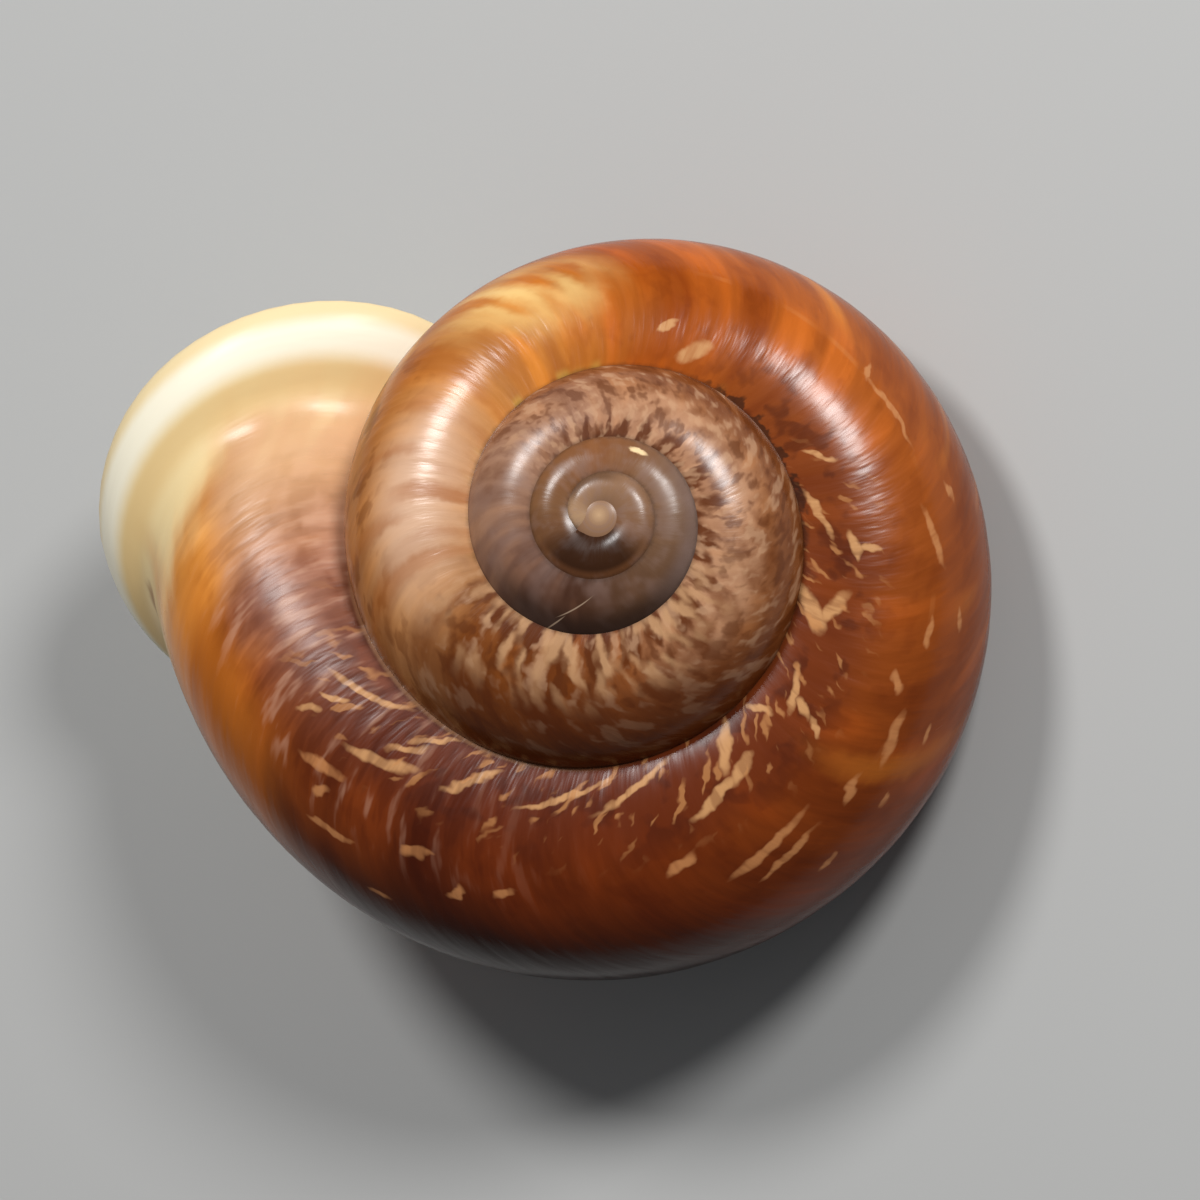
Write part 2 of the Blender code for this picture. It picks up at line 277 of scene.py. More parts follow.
def upright(height):
    height = np.asarray(height)
    return np.stack([np.zeros_like(height), np.zeros_like(height), height], axis=-1)


def centre(turn):
    return outward(turn) * np.asarray(spiral_radius(turn))[..., None] + upright(centre_height(turn))


def section_point(turn, angle, radius):
    """Point of the tube's section; angle 0 points away from the axis and 90 degrees up."""
    across = outward(turn) * (np.cos(angle) * radius)[..., None]
    return centre(turn) + across + upright(flatness(turn) * np.sin(angle) * radius)


def depth_in_older_wall(turn):
    """How far a newer whorl's outer face is sunk into the older one."""
    older = turn - 1.0
    solid, hollow = THINNING_TURNS
    over_hollow = smooth_share(older, HOLLOW_BACK_TO_TURN - solid, HOLLOW_BACK_TO_TURN - hollow)
    deep = SOLID_BURIED * tube_radius(older)
    return deep + (WALL_BURIED * wall(older) - deep) * over_hollow


def mouth_normal():
    lean = math.radians(MOUTH_LEAN_DEG)
    aside = math.radians(MOUTH_OUTWARD_DEG)
    level = forward(MOUTH_TURN) * math.cos(aside) + outward(MOUTH_TURN) * math.sin(aside)
    return level * math.cos(lean) - upright(math.sin(lean))


def mouth_lead(angle):
    """How many turns ahead of its centre the mouth's plane cuts the tube at this angle."""
    low = np.full_like(angle, -LONGEST_MOUTH_LEAD)
    high = -low
    for _ in range(MOUTH_HALVINGS):
        lead = 0.5 * (low + high)
        turn = MOUTH_TURN + lead
        short = (section_point(turn, angle, tube_radius(turn)) - centre(MOUTH_TURN)) @ mouth_normal()
        low = np.where(short < 0.0, lead, low)
        high = np.where(short < 0.0, high, lead)
    return lead


LEAD_ANGLES = np.linspace(0.0, 2.0 * math.pi, 361)
MOUTH_LEADS = mouth_lead(LEAD_ANGLES)
MOUTH_TURN_LENGTH = float(2.0 * math.pi * spiral_radius(MOUTH_TURN))


def growth_lead(turn, angle):
    """How many turns ahead of its centre a growth line runs at this angle."""
    early = EARLY_SLANT + (1.0 - EARLY_SLANT) * smooth_share(turn, START_TURN, FULL_SLANT_TURN)
    rise = flatness(turn) * tube_radius(turn) * np.sin(angle)
    ahead = rise * math.tan(math.radians(GROWTH_SLANT_DEG)) * early
    lead = ahead / (2.0 * math.pi * spiral_radius(turn))
    near_mouth = smooth_share(turn, MOUTH_TURN - MOUTH_SLANT_TURNS, MOUTH_TURN)
    at_mouth = np.interp(angle, LEAD_ANGLES, MOUTH_LEADS, period=2.0 * math.pi)
    return lead + (at_mouth - lead) * near_mouth


def gap_to_whorl(points, turn, there):
    """Distance in a section from each point to the whorl one turn older or newer."""
    inside = (there >= START_TURN) & (there <= MOUTH_TURN)
    safe = np.clip(there, START_TURN, MOUTH_TURN)
    out = np.sum(points * outward(turn), axis=-1) - spiral_radius(safe)
    up = (points[..., 2] - centre_height(safe)) / flatness(safe)
    return np.where(inside, np.hypot(out, up) - tube_radius(safe), np.inf)


def seam_angle(turns, free_deg, inset, seam_offset):
    """Angle at which the tube's face passes into the whorl before it, looked for from its free side."""
    turn = np.clip(turns, *SUTURE_TURNS)
    clear = np.full_like(turn, math.radians(free_deg))
    sunk = np.full_like(turn, math.radians(SUTURE_SEARCH_DEG[1]))
    for _ in range(SEAM_HALVINGS):
        angle = 0.5 * (clear + sunk)
        here = turn + growth_lead(turn, angle)
        face = section_point(here, angle, tube_radius(here) - inset(here))
        is_clear = gap_to_whorl(face, here, here - 1.0) > seam_offset(here)
        clear = np.where(is_clear, angle, clear)
        sunk = np.where(is_clear, sunk, angle)
    return sunk


def ring_angles(turns, inset, seam_offset):
    """Angles of each ring's points: over the free side from seam to seam, then under the older whorl."""
    near_mouth = smooth_share(turns, SUTURE_TURNS[1], MOUTH_SEAMS_FROM_TURN)
    seams = []
    for free, mouth in zip(SUTURE_SEARCH_DEG[::2], MOUTH_SEAMS_DEG):
        seam = seam_angle(turns, free, inset, seam_offset)
        seams.append((seam + (math.radians(mouth) - seam) * near_mouth)[:, None])
    upper, lower = seams
    free_side = np.linspace(0.0, 1.0, FREE_STEPS + 1)
    covered = np.arange(1, COVERED_POINTS + 1) / (COVERED_POINTS + 1.0)
    lower_before = lower - 2.0 * math.pi
    return np.hstack([lower_before + (upper - lower_before) * free_side, upper + (lower - upper) * covered])


def sunk_points(here, angle, radius, seam_offset, sunk_offset):
    """Carries the covered part of each ring along the older whorl's wall, from seam to seam."""
    older = np.maximum(here - 1.0, START_TURN)
    new_out, new_up = spiral_radius(here), centre_height(here)
    old_out, old_up = spiral_radius(older), centre_height(older)
    out = new_out + np.cos(angle) * radius - old_out
    up = (new_up + flatness(here) * np.sin(angle) * radius - old_up) / flatness(older)
    bearing = np.arctan2(up, out)
    share = np.linspace(0.0, 1.0, angle.shape[1])
    bearing = bearing[:, :1] + (bearing[:, -1:] - bearing[:, :1]) * share
    ray_out = np.cos(bearing)
    ray_up = np.sin(bearing) * flatness(older)
    to_out = old_out - new_out
    to_up = (old_up - new_up) / flatness(here)
    ray_up_new = ray_up / flatness(here)
    squared = ray_out**2 + ray_up_new**2
    along = ray_out * to_out + ray_up_new * to_up
    inside = along**2 - squared * (to_out**2 + to_up**2 - radius**2)
    on_tube = (-along - np.sqrt(np.maximum(inside, 0.0))) / squared
    ends = np.minimum(share, 1.0 - share)
    sinking = smooth_share(ends, 0.0, SINKING_SHARE)
    offset = seam_offset(here) + (sunk_offset(here) - seam_offset(here)) * sinking
    reach = np.maximum(on_tube, tube_radius(older) + offset)
    across = outward(here) * (old_out + ray_out * reach)[..., None]
    sunk = across + upright(old_up + ray_up * reach)
    on_coil = section_point(here, angle, radius)
    has_older = smooth_share(here, START_TURN + 1.0, START_TURN + 1.1)[..., None]
    return on_coil + (sunk - on_coil) * has_older


def tube_rings(turns, inset, seam_offset, sunk_offset):
    """Growth lines round the tube: their points, the turn that each point lies at, and its angle."""
    angle = ring_angles(turns, inset, seam_offset)
    turn = turns[:, None]
    here = turn + growth_lead(turn, angle)
    rounding = np.clip((turn - START_TURN) / START_ROUNDING_TURNS, 0.0, 1.0)
    rounded = np.sqrt(np.maximum(1.0 - (1.0 - rounding) ** 2, LEAST_ROUNDING))
    radius = (tube_radius(here) - inset(here)) * rounded
    points = section_point(here, angle, radius)
    covered = [*range(FREE_STEPS, POINTS_AROUND), 0]
    strip = here[:, covered], angle[:, covered], radius[:, covered]
    sunk = sunk_points(*strip, seam_offset, sunk_offset)
    points[:, FREE_STEPS + 1 :] = sunk[:, 1:-1]
    return points, here, angle


def no_inset(turn):
    return 0.0 * turn


def outer_seam(turn):
    return -SEAM_DEPTH * tube_radius(turn)


def callus(turn):
    return CALLUS + 0.0 * turn


def flare_share(angle):
    """Full flare over the free side, less beside the whorl above and at the foot."""
    degrees = np.degrees(angle) % 360.0
    share = 1.0
    for least, middle, full, end in LESSER_FLARES:
        near = 1.0 - smooth_share(np.abs(degrees - middle), full, end)
        share = share - (1.0 - least) * near
    return share


def lip_rings():
    """Lines round the lip, over its rim and into the mouth, and how far along it each one is."""
    corners = np.array(LIP_PROFILE)
    reached = np.concatenate([[0.0], np.cumsum(np.linalg.norm(np.diff(corners, axis=0), axis=1))])
    runs = np.linspace(0.0, reached[-1], LIP_RINGS)
    along = natural_spline(reached, corners[:, 0])(runs)
    out = natural_spline(reached, corners[:, 1])(runs)
    turn = (MOUTH_TURN + along / MOUTH_TURN_LENGTH)[:, None]
    angle = ring_angles(np.full(LIP_RINGS, MOUTH_TURN), no_inset, outer_seam)
    here = turn + growth_lead(turn, angle)
    on_tube = section_point(here, angle, tube_radius(here))
    away = on_tube - centre(turn)
    away -= mouth_normal() * (away @ mouth_normal())[..., None]
    away /= np.linalg.norm(away, axis=-1, keepdims=True)
    share = np.where(out[:, None] > 0.0, flare_share(angle), 1.0)
    return on_tube + away * (out[:, None] * share)[..., None], here, angle, turn[:, 0], runs


def outer_turns():
    """Turns of the outer rings, closer together where the coil is small."""
    last = MOUTH_TURN + LIP_PROFILE[0][0] / MOUTH_TURN_LENGTH
    turns = [START_TURN]
    while True:
        rim = 2.0 * math.pi * float(spiral_radius(turns[-1]) + tube_radius(turns[-1]))
        step = 1.0 / max(LEAST_RINGS_PER_TURN, rim / RING_SPACING)
        if turns[-1] + 1.5 * step > last:
            return np.array(turns)
        turns.append(turns[-1] + step)


def hollow_turns():
    first = MOUTH_TURN + LIP_PROFILE[-1][0] / MOUTH_TURN_LENGTH
    count = round((first - HOLLOW_BACK_TO_TURN) * HOLLOW_RINGS_PER_TURN)
    return np.linspace(first, HOLLOW_BACK_TO_TURN, count + 1)[1:]


def coil_skin():
    """The skin's rings in order, and what each point knows of its place on the shell."""
    outer_turn = outer_turns()
    outer, outer_here, outer_angle = tube_rings(
        outer_turn, no_inset, outer_seam, lambda here: -depth_in_older_wall(here)
    )
    lip, lip_here, lip_angle, lip_turn, lip_run = lip_rings()
    inner_turn = hollow_turns()
    inner, inner_here, inner_angle = tube_rings(inner_turn, wall, callus, callus)
    points = np.concatenate([outer, lip, inner])
    here = np.concatenate([outer_here, lip_here, inner_here])
    growth = np.concatenate([outer_turn, lip_turn, inner_turn])
    run = np.concatenate([
        (outer_turn - lip_turn[0]) * MOUTH_TURN_LENGTH,
        lip_run,
        lip_run[-1] + (lip_turn[-1] - inner_turn) * MOUTH_TURN_LENGTH,
    ])
    gaps = [gap_to_whorl(points, here, here + away) for away in (-1.0, 1.0)]
    growth_here = growth[:, None]
    breadth = spiral_radius(growth_here) + tube_radius(growth_here)
    return points, {
        "growth": growth_here + 0.0 * here,
        "angle": np.concatenate([outer_angle, lip_angle, inner_angle]),
        "run": run[:, None] + 0.0 * here,
        "crevice": np.clip(np.minimum(*gaps), *CREVICE_REACH),
        "spread": np.clip(np.hypot(points[..., 0], points[..., 1]) / breadth, 0.0, 1.0),
    }


def add_mesh(work, points, faces, places):
    """Adds points and faces to the mesh in the making, with each point's places."""
    first = len(work["points"])
    work["points"] += [tuple(point) for point in points]
    work["faces"] += [tuple(first + i for i in face) for face in faces]
    for name, values in places.items():
        work[name] += list(values)


def stack_faces(rows, around):
    """Faces between rings in order, and fans to the two end points that follow the rings' points."""
    faces = []
    for row in range(rows - 1):
        for i in range(around):
            a = row * around + i
            b = row * around + (i + 1) % around
            faces.append((a, b, b + around, a + around))
    count = rows * around
    for i in range(around):
        after = (i + 1) % around
        faces.append((count, after, i))
        faces.append((count + 1, count - around + i, count - around + after))
    return faces


def even_places(growth, run, crevice, spread, angle_deg):
    """Places for a small part of the shell, the same at each point but for its growth."""
    even = {"run": run, "crevice": crevice, "spread": spread, "angle": math.radians(angle_deg)}
    return {"growth": growth, **{name: [value] * len(growth) for name, value in even.items()}}


def add_coil(work):
    points, places = coil_skin()
    tip = centre(START_TURN) - forward(START_TURN) * START_CAP * tube_radius(START_TURN)
    back = HOLLOW_BACK_TO_TURN
    hollow_end = centre(back) - forward(back) * HOLLOW_CAP * tube_radius(back)
    for name, values in places.items():
        places[name] = [*values.reshape(-1), values[0, 0], values[-1, 0]]
    faces = stack_faces(len(points), POINTS_AROUND)
    add_mesh(work, [*points.reshape(-1, 3), tip, hollow_end], faces, places)


def add_first_chamber(work):
    """The rounded chamber that the coil starts from, over its axis."""
    ball = bmesh.new()
    bmesh.ops.create_icosphere(ball, subdivisions=4, radius=FIRST_CHAMBER_RADIUS)
    flat = np.array((1.0, 1.0, FIRST_CHAMBER_FLATNESS))
    points = [np.array(vertex.co) * flat - (0.0, 0.0, FIRST_CHAMBER_DEPTH) for vertex in ball.verts]
    faces = [[vertex.index for vertex in face.verts] for face in ball.faces]
    ball.free()
    reach = [math.hypot(point[0], point[1]) for point in points]
    growth = [START_TURN + FIRST_CHAMBER_GROWTH_PER_MM * far for far in reach]
    places = even_places(
        growth, run=-30.0, crevice=1.0, spread=0.0, angle_deg=FIRST_CHAMBER_ANGLE_DEG
    )
    add_mesh(work, points, faces, places)


def breathing_tube_path():
    """Centre points of the breathing tube, from inside the whorl out and then backwards."""
    angle = np.array(math.radians(BREATHING_TUBE_ANGLE_DEG))
    back = BREATHING_TUBE_BACK / MOUTH_TURN_LENGTH
    turn = MOUTH_TURN + float(mouth_lead(np.array([angle]))[0]) - back
    foot = section_point(turn, angle, tube_radius(turn))
    away = foot - centre(turn)
    away /= np.linalg.norm(away)
    path = [foot - away * BREATHING_TUBE_ROOT, foot]
    for i in range(1, BREATHING_TUBE_STEPS + 1):
        bend = math.radians(BREATHING_TUBE_BEND_DEG) * i / BREATHING_TUBE_STEPS
        heading = away * math.cos(bend) - forward(turn) * math.sin(bend)
        path.append(path[-1] + heading * BREATHING_TUBE_LENGTH / BREATHING_TUBE_STEPS)
    return np.array(path), turn


def add_breathing_tube(work):
    """A short pipe: up its outside, over a rounded rim, and down its bore."""
    path, turn = breathing_tube_path()
    headings = np.gradient(path, axis=0)
    headings /= np.linalg.norm(headings, axis=1, keepdims=True)
    side = np.cross(headings, (0.0, 0.0, 1.0))
    side /= np.linalg.norm(side, axis=1, keepdims=True)
    over = np.cross(side, headings)
    last = len(path) - 1
    stations = [(i, BREATHING_TUBE_RADIUS, 0.0) for i in range(last + 1)]
    middle = 0.5 * (BREATHING_TUBE_RADIUS + BREATHING_BORE_RADIUS)
    half = 0.5 * (BREATHING_TUBE_RADIUS - BREATHING_BORE_RADIUS)
    for step in range(1, BREATHING_TUBE_RIM_STEPS):
        bend = math.pi * step / BREATHING_TUBE_RIM_STEPS
        stations.append((last, middle + half * math.cos(bend), BREATHING_TUBE_RIM * math.sin(bend)))
    down_bore = range(last, BREATHING_BORE_END_STEP - 1, -1)
    stations += [(i, BREATHING_BORE_RADIUS, 0.0) for i in down_bore]
    around = 2.0 * math.pi * np.arange(BREATHING_TUBE_SIDES) / BREATHING_TUBE_SIDES
    points = []
    for i, radius, ahead in stations:
        ring = side[i] * np.cos(around)[:, None] + over[i] * np.sin(around)[:, None]
        points += list(path[i] + headings[i] * ahead + ring * radius)
    points += [path[0], path[BREATHING_BORE_END_STEP]]
    faces = stack_faces(len(stations), BREATHING_TUBE_SIDES)
    growth = [turn] * len(points)
    places = even_places(
        growth, run=-1.0, crevice=0.6, spread=0.5, angle_deg=BREATHING_TUBE_ANGLE_DEG
    )
    add_mesh(work, points, faces, places)


def rest_turn():
    """Turns the coil from its own axis to the attitude that it rests in."""
    pivot = Vector((0.0, 0.0, 1.0)).cross(Vector(outward(REST_LEAN_TOWARD_DEG / 360.0)))
    return Matrix.Rotation(math.radians(REST_LEAN_DEG), 3, pivot)


def lay_down(points):
    """Leans the coil as it rests, and sets it in the solid's box. Millimetres in, metres out."""
    lying = np.array(points) @ np.array(rest_turn()).T * MM
    low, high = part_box("shell")
    middle = (np.array(low) + np.array(high)) / 2.0
    found = (lying.min(axis=0) + lying.max(axis=0)) / 2.0
    shift = middle - found
    shift[2] = high[2] - lying[:, 2].max()
    return lying + shift, shift


def point_values(mesh, name, kind, values):
    layer = mesh.attributes.new(name, kind, "POINT")
    field = "vector" if kind == "FLOAT_VECTOR" else "value"
    layer.data.foreach_set(field, np.asarray(values, np.float32).reshape(-1))


def make_skin():
    """The whole shell as one mesh, with each point's place on it, and where the coil's axis is."""
    work = {name: [] for name in ("points", "faces", "growth", "run", "crevice", "spread", "angle")}
    add_coil(work)
    add_first_chamber(work)
    add_breathing_tube(work)
    placed, shift = lay_down(work["points"])
    mesh = bpy.data.meshes.new("snail_shell")
    mesh.from_pydata(placed.tolist(), [], work["faces"])
    for name in ("growth", "run", "crevice", "spread"):
        point_values(mesh, name, "FLOAT", work[name])
    sizes = tube_radius(np.array(work["growth"])) / tube_radius(MOUTH_TURN)
    point_values(mesh, "tube size", "FLOAT", sizes)
    angle = np.array(work["angle"])
    ring = np.stack([np.cos(angle), np.sin(angle), 0.0 * angle], axis=-1)
    point_values(mesh, "around", "FLOAT_VECTOR", ring)
    shell = bpy.data.objects.new("snail_shell", mesh)
    bpy.context.scene.collection.objects.link(shell)
    return shell, shift


# Nodes

FLOAT = "NodeSocketFloat"
VECTOR = "NodeSocketVector"


def linked(tree, socket, value):
    if isinstance(value, bpy.types.NodeSocket):
        tree.links.new(value, socket)
    else:
        socket.default_value = value


def node(tree, kind, inputs=None, **settings):
    made = tree.nodes.new(kind)
    for name, value in settings.items():
        setattr(made, name, value)
    for name, value in (inputs or {}).items():
        linked(tree, made.inputs[name], value)
    return made


def calc(tree, operation, *values):
    """One step of arithmetic on values or node outputs."""
    return node(tree, "ShaderNodeMath", dict(enumerate(values)), operation=operation).outputs[0]


def times(tree, value, *factors):
    for factor in factors:
        value = calc(tree, "MULTIPLY", value, factor)
    return value


def vector_calc(tree, operation, *values):
    made = node(tree, "ShaderNodeVectorMath", dict(enumerate(values)), operation=operation)
    return made.outputs


def vector_of(tree, x, y, z=0.0):
    return node(tree, "ShaderNodeCombineXYZ", {"X": x, "Y": y, "Z": z}).outputs[0]


def parts_of(tree, vector):
    return node(tree, "ShaderNodeSeparateXYZ", {"Vector": vector}).outputs


def noise(tree, vector, scale, detail, roughness=0.5):
    inputs = {"Vector": vector, "Scale": scale, "Detail": detail, "Roughness": roughness}
    return node(tree, "ShaderNodeTexNoise", inputs).outputs[0]


def eased(tree, value, start, end, low=0.0, high=1.0):
    """The value's way from start to end as a soft share between low and high."""
    inputs = {"Value": value, "From Min": start, "From Max": end, "To Min": low, "To Max": high}
    return node(tree, "ShaderNodeMapRange", inputs, interpolation_type="SMOOTHSTEP").outputs[0]


def painted(tree, share, under, over, blend):
    made = node(tree, "ShaderNodeMix", data_type="RGBA", blend_type=blend)
    linked(tree, made.inputs[0], share)
    linked(tree, made.inputs[6], under)
    linked(tree, made.inputs[7], over)
    return made.outputs[2]


def colour(red, green, blue):
    """A colour given as it looks on a screen, from 0 to 255, for a node."""
    parts = []
    for part in (red, green, blue):
        share = part / 255.0
        parts.append(share / 12.92 if share <= 0.04045 else ((share + 0.055) / 1.055) ** 2.4)
    return (*parts, 1.0)


def ramp(tree, value, stops, low, high):
    """Colours along a value: each stop is the value and the red, green and blue there."""
    share = node(tree, "ShaderNodeMapRange", {"Value": value, "From Min": low, "From Max": high})
    made = node(tree, "ShaderNodeValToRGB", {"Fac": share.outputs[0]})
    elements = made.color_ramp.elements
    while len(elements) < len(stops):
        elements.new(0.5)
    for element, (at, *tone) in zip(elements, stops):
        element.position = (at - low) / (high - low)
        element.color = colour(*tone)
    return made.outputs[0]


def new_group(name, inputs, outputs):
    """A shader node group; its inputs and outputs are each a name and a kind of socket."""
    tree = bpy.data.node_groups.new(name, "ShaderNodeTree")
    for way, sockets in (("INPUT", inputs), ("OUTPUT", outputs)):
        for label, kind in sockets.items():
            tree.interface.new_socket(label, in_out=way, socket_type=kind)
    return tree, tree.nodes.new("NodeGroupInput").outputs, tree.nodes.new("NodeGroupOutput").inputs


def placed_group(tree, group, inputs):
    made = node(tree, "ShaderNodeGroup", node_tree=group)
    for name, value in inputs.items():
        linked(tree, made.inputs[name], value)
    return made.outputs


# Places on the coil are counted in a unit of about one tube radius, along the coil and round it
PLACE_PER_TURN = 10.5
PLACE_UNIT_MM = 5.7

# Growth lines: how they wander, how much they change round the tube, and how much broader than a
# line a band of them is
DRIFT_SCALE = 1.6
DRIFT = 0.02
LINES_ROUND_TUBE = 2.8
BAND_SCALES = 0.22, 0.36, 0.36

# Edges of what is painted: how ragged they are, and where a mark and a spot start and are full
RAGGED_SCALE = 8.5
RAGGED_PUSH = 0.095
MARK_EDGE = 1.45, 0.2
SPOT_EDGE = 1.0, 0.1

# Height in metres of the relief that is too fine for the mesh
BUMP_DISTANCE = 0.00005

SKIN_FINENESS = 16.0
LINING_FINENESS = 6.0


def place_group():
    """Where a point is on the shell."""
    values = dict.fromkeys(("Growth", "Angle", "Crevice", "Run", "Spread"), FLOAT)
    vectors = {"Place": VECTOR, "Chart": VECTOR}
    tree, _, out = new_group("place on the coil", {}, {**values, **vectors})
    growth = node(tree, "ShaderNodeAttribute", attribute_name="growth").outputs["Fac"]
    ring = node(tree, "ShaderNodeAttribute", attribute_name="around").outputs["Vector"]
    parts = parts_of(tree, ring)
    angle = calc(tree, "ARCTAN2", parts["Y"], parts["X"])
    linked(tree, out["Growth"], growth)
    linked(tree, out["Angle"], calc(tree, "DEGREES", angle))
    along = times(tree, growth, PLACE_PER_TURN)
    linked(tree, out["Place"], vector_of(tree, along, parts["X"], parts["Y"]))
    linked(tree, out["Chart"], vector_of(tree, along, angle))
    for label in ("Crevice", "Run", "Spread"):
        value = node(tree, "ShaderNodeAttribute", attribute_name=label.lower()).outputs["Fac"]
        linked(tree, out[label], value)
    return tree


def growth_line_group():
    """Fine lines laid down side by side as the shell grows, and broader bands of them."""
    inputs = {"Place": VECTOR, "Fineness": FLOAT}
    tree, given, out = new_group("growth lines", inputs, {"Lines": FLOAT, "Bands": FLOAT})
    drift = calc(tree, "SUBTRACT", noise(tree, given["Place"], DRIFT_SCALE, 0.0), 0.5)
    parts = parts_of(tree, given["Place"])
    along = calc(tree, "ADD", parts["X"], times(tree, drift, DRIFT))
    along = times(tree, along, given["Fineness"])
    across, up = [times(tree, parts[axis], LINES_ROUND_TUBE) for axis in ("Y", "Z")]
    fine = vector_of(tree, along, across, up)
    linked(tree, out["Lines"], noise(tree, fine, 1.0, 2.0))
    broad = vector_calc(tree, "MULTIPLY", fine, BAND_SCALES)[0]
    linked(tree, out["Bands"], noise(tree, broad, 1.0, 1.0))
    return tree


def streak_group():
    """Ragged streaks that lean across the growth lines; the more where Least is low."""
    values = "Lean", "Along", "Across", "Least", "Softness", "Seed"
    inputs = {"Chart": VECTOR, **dict.fromkeys(values, FLOAT)}
    tree, given, out = new_group("streaks", inputs, {"Streaks": FLOAT})
    lean = calc(tree, "RADIANS", given["Lean"])
    cosine = calc(tree, "COSINE", lean)
    sine = calc(tree, "SINE", lean)
    parts = parts_of(tree, given["Chart"])
    across = calc(tree, "MULTIPLY_ADD", parts["Y"], sine, times(tree, parts["X"], cosine))
    along = calc(tree, "SUBTRACT", times(tree, parts["Y"], cosine), times(tree, parts["X"], sine))
    across = times(tree, across, given["Across"])
    along = times(tree, along, given["Along"])
    value = noise(tree, vector_of(tree, across, along, given["Seed"]), 1.0, 1.0)
    full = calc(tree, "ADD", given["Least"], given["Softness"])
    linked(tree, out["Streaks"], eased(tree, value, given["Least"], full))
    return tree


class Painter:
    """Lays colours over each other in a new material, with the shell's places at hand."""

    def __init__(self, name, groups, fineness):
        self.material = bpy.data.materials.new(name)
        self.material.use_nodes = True
        self.tree = self.material.node_tree
        self.surface = self.tree.nodes["Principled BSDF"]
        self.groups = groups
        self.at = placed_group(self.tree, groups["place"], {})
        inputs = {"Place": self.at["Place"], "Fineness": fineness}
        made = placed_group(self.tree, groups["growth lines"], inputs)
        self.lines, self.bands = made["Lines"], made["Bands"]
        self.colour = None

    def share(self, value, *ends, low=0.0, high=1.0):
        """The value's soft way from low to high; four ends make it return to low at the last."""
        rise = eased(self.tree, value, *ends[:2], low, high)
        if len(ends) == 2:
            return rise
        return times(self.tree, rise, eased(self.tree, value, *ends[2:], high, low))

    def zone(self, growth, angle):
        """A zone of the shell between ends in growth and in angle."""
        shares = self.share(self.at["Growth"], *growth), self.share(self.at["Angle"], *angle)
        return times(self.tree, *shares)

    def lay(self, tone, *shares):
        """Covers what is there by the product of the shares."""
        amount = times(self.tree, *shares)
        self.colour = painted(self.tree, amount, self.colour, colour(*tone), "MIX")

    def tint(self, factors, *shares):
        """Multiplies red, green and blue where the product of the shares is high."""
        amount = times(self.tree, *shares)
        self.colour = painted(self.tree, amount, self.colour, (*factors, 1.0), "MULTIPLY")

    def finish(self, roughness, relief, strength):
        """Gives the surface its colour, its roughness and a relief too fine for the mesh."""
        inputs = {"Height": relief, "Distance": BUMP_DISTANCE, "Strength": strength}
        bump = node(self.tree, "ShaderNodeBump", inputs)
        linked(self.tree, self.surface.inputs["Base Color"], self.colour)
        linked(self.tree, self.surface.inputs["Roughness"], roughness)
        linked(self.tree, self.surface.inputs["Normal"], bump.outputs[0])
        return self.material


# Ground tones of the skin: growth, red, green and blue
GROWTH_TONES = (
    (-3.40, 196, 160, 122),
    (-3.14, 154, 118, 90),
    (-2.80, 136, 100, 74),
    (-2.60, 104, 64, 36),
    (-2.42, 96, 58, 34),
    (-2.25, 120, 82, 52),
    (-2.05, 132, 84, 50),
    (-1.88, 126, 92, 66),
    (-1.70, 104, 74, 52),
    (-1.52, 72, 44, 30),
    (-1.38, 114, 80, 64),
    (-1.22, 164, 122, 96),
    (-1.00, 166, 114, 80),
    (-0.80, 162, 110, 74),
    (-0.66, 148, 92, 54),
    (-0.55, 118, 60, 20),
    (-0.44, 130, 72, 28),
    (-0.35, 184, 132, 86),
    (-0.22, 190, 128, 68),
    (-0.12, 192, 114, 38),
    (-0.04, 156, 72, 12),
    (0.10, 168, 86, 28),
    (0.20, 148, 72, 22),
    (0.30, 132, 60, 14),
    (0.42, 108, 42, 6),
    (0.52, 92, 34, 5),
    (0.60, 106, 44, 10),
    (0.66, 152, 76, 24),
    (0.72, 208, 136, 60),
    (0.78, 238, 202, 144),
)
TONES_END = 0.80

# Marks: growth and angle at each end, and width in mm. First the pale flecks by the suture
SUTURE_FLECKS = (
    (-0.007, 90, 0.003, 85, 0.85),
    (-0.035, 81, -0.024, 77, 0.35),
    (0.123, 91, 0.136, 82, 0.26),
    (0.156, 98, 0.189, 92, 0.34),
    (0.189, 84, 0.204, 81, 0.34),
    (0.199, 81, 0.199, 73, 0.30),
    (0.238, 103, 0.255, 94, 0.80),
    (0.232, 86, 0.249, 93, 0.66),
    (0.291, 94, 0.312, 88, 0.40),
    (0.304, 87, 0.309, 82, 0.34),
    (0.309, 80, 0.314, 74, 0.24),
    (0.332, 102, 0.323, 94, 0.34),
    (0.355, 103, 0.366, 89, 0.56),
    (0.351, 87, 0.366, 83, 0.50),
    (0.366, 84, 0.392, 78, 0.42),
    (0.402, 103, 0.445, 88, 0.32),
    (0.440, 101, 0.490, 87, 0.26),
    (0.511, 97, 0.532, 84, 0.32),
    (0.543, 101, 0.562, 92, 0.26),
    (0.554, 92, 0.568, 85, 0.30),
    (0.554, 83, 0.584, 74, 0.46),
    (0.578, 99, 0.618, 86, 0.26),
    (0.603, 84, 0.611, 80, 0.24),
    (0.609, 75, 0.615, 70, 0.28),
)

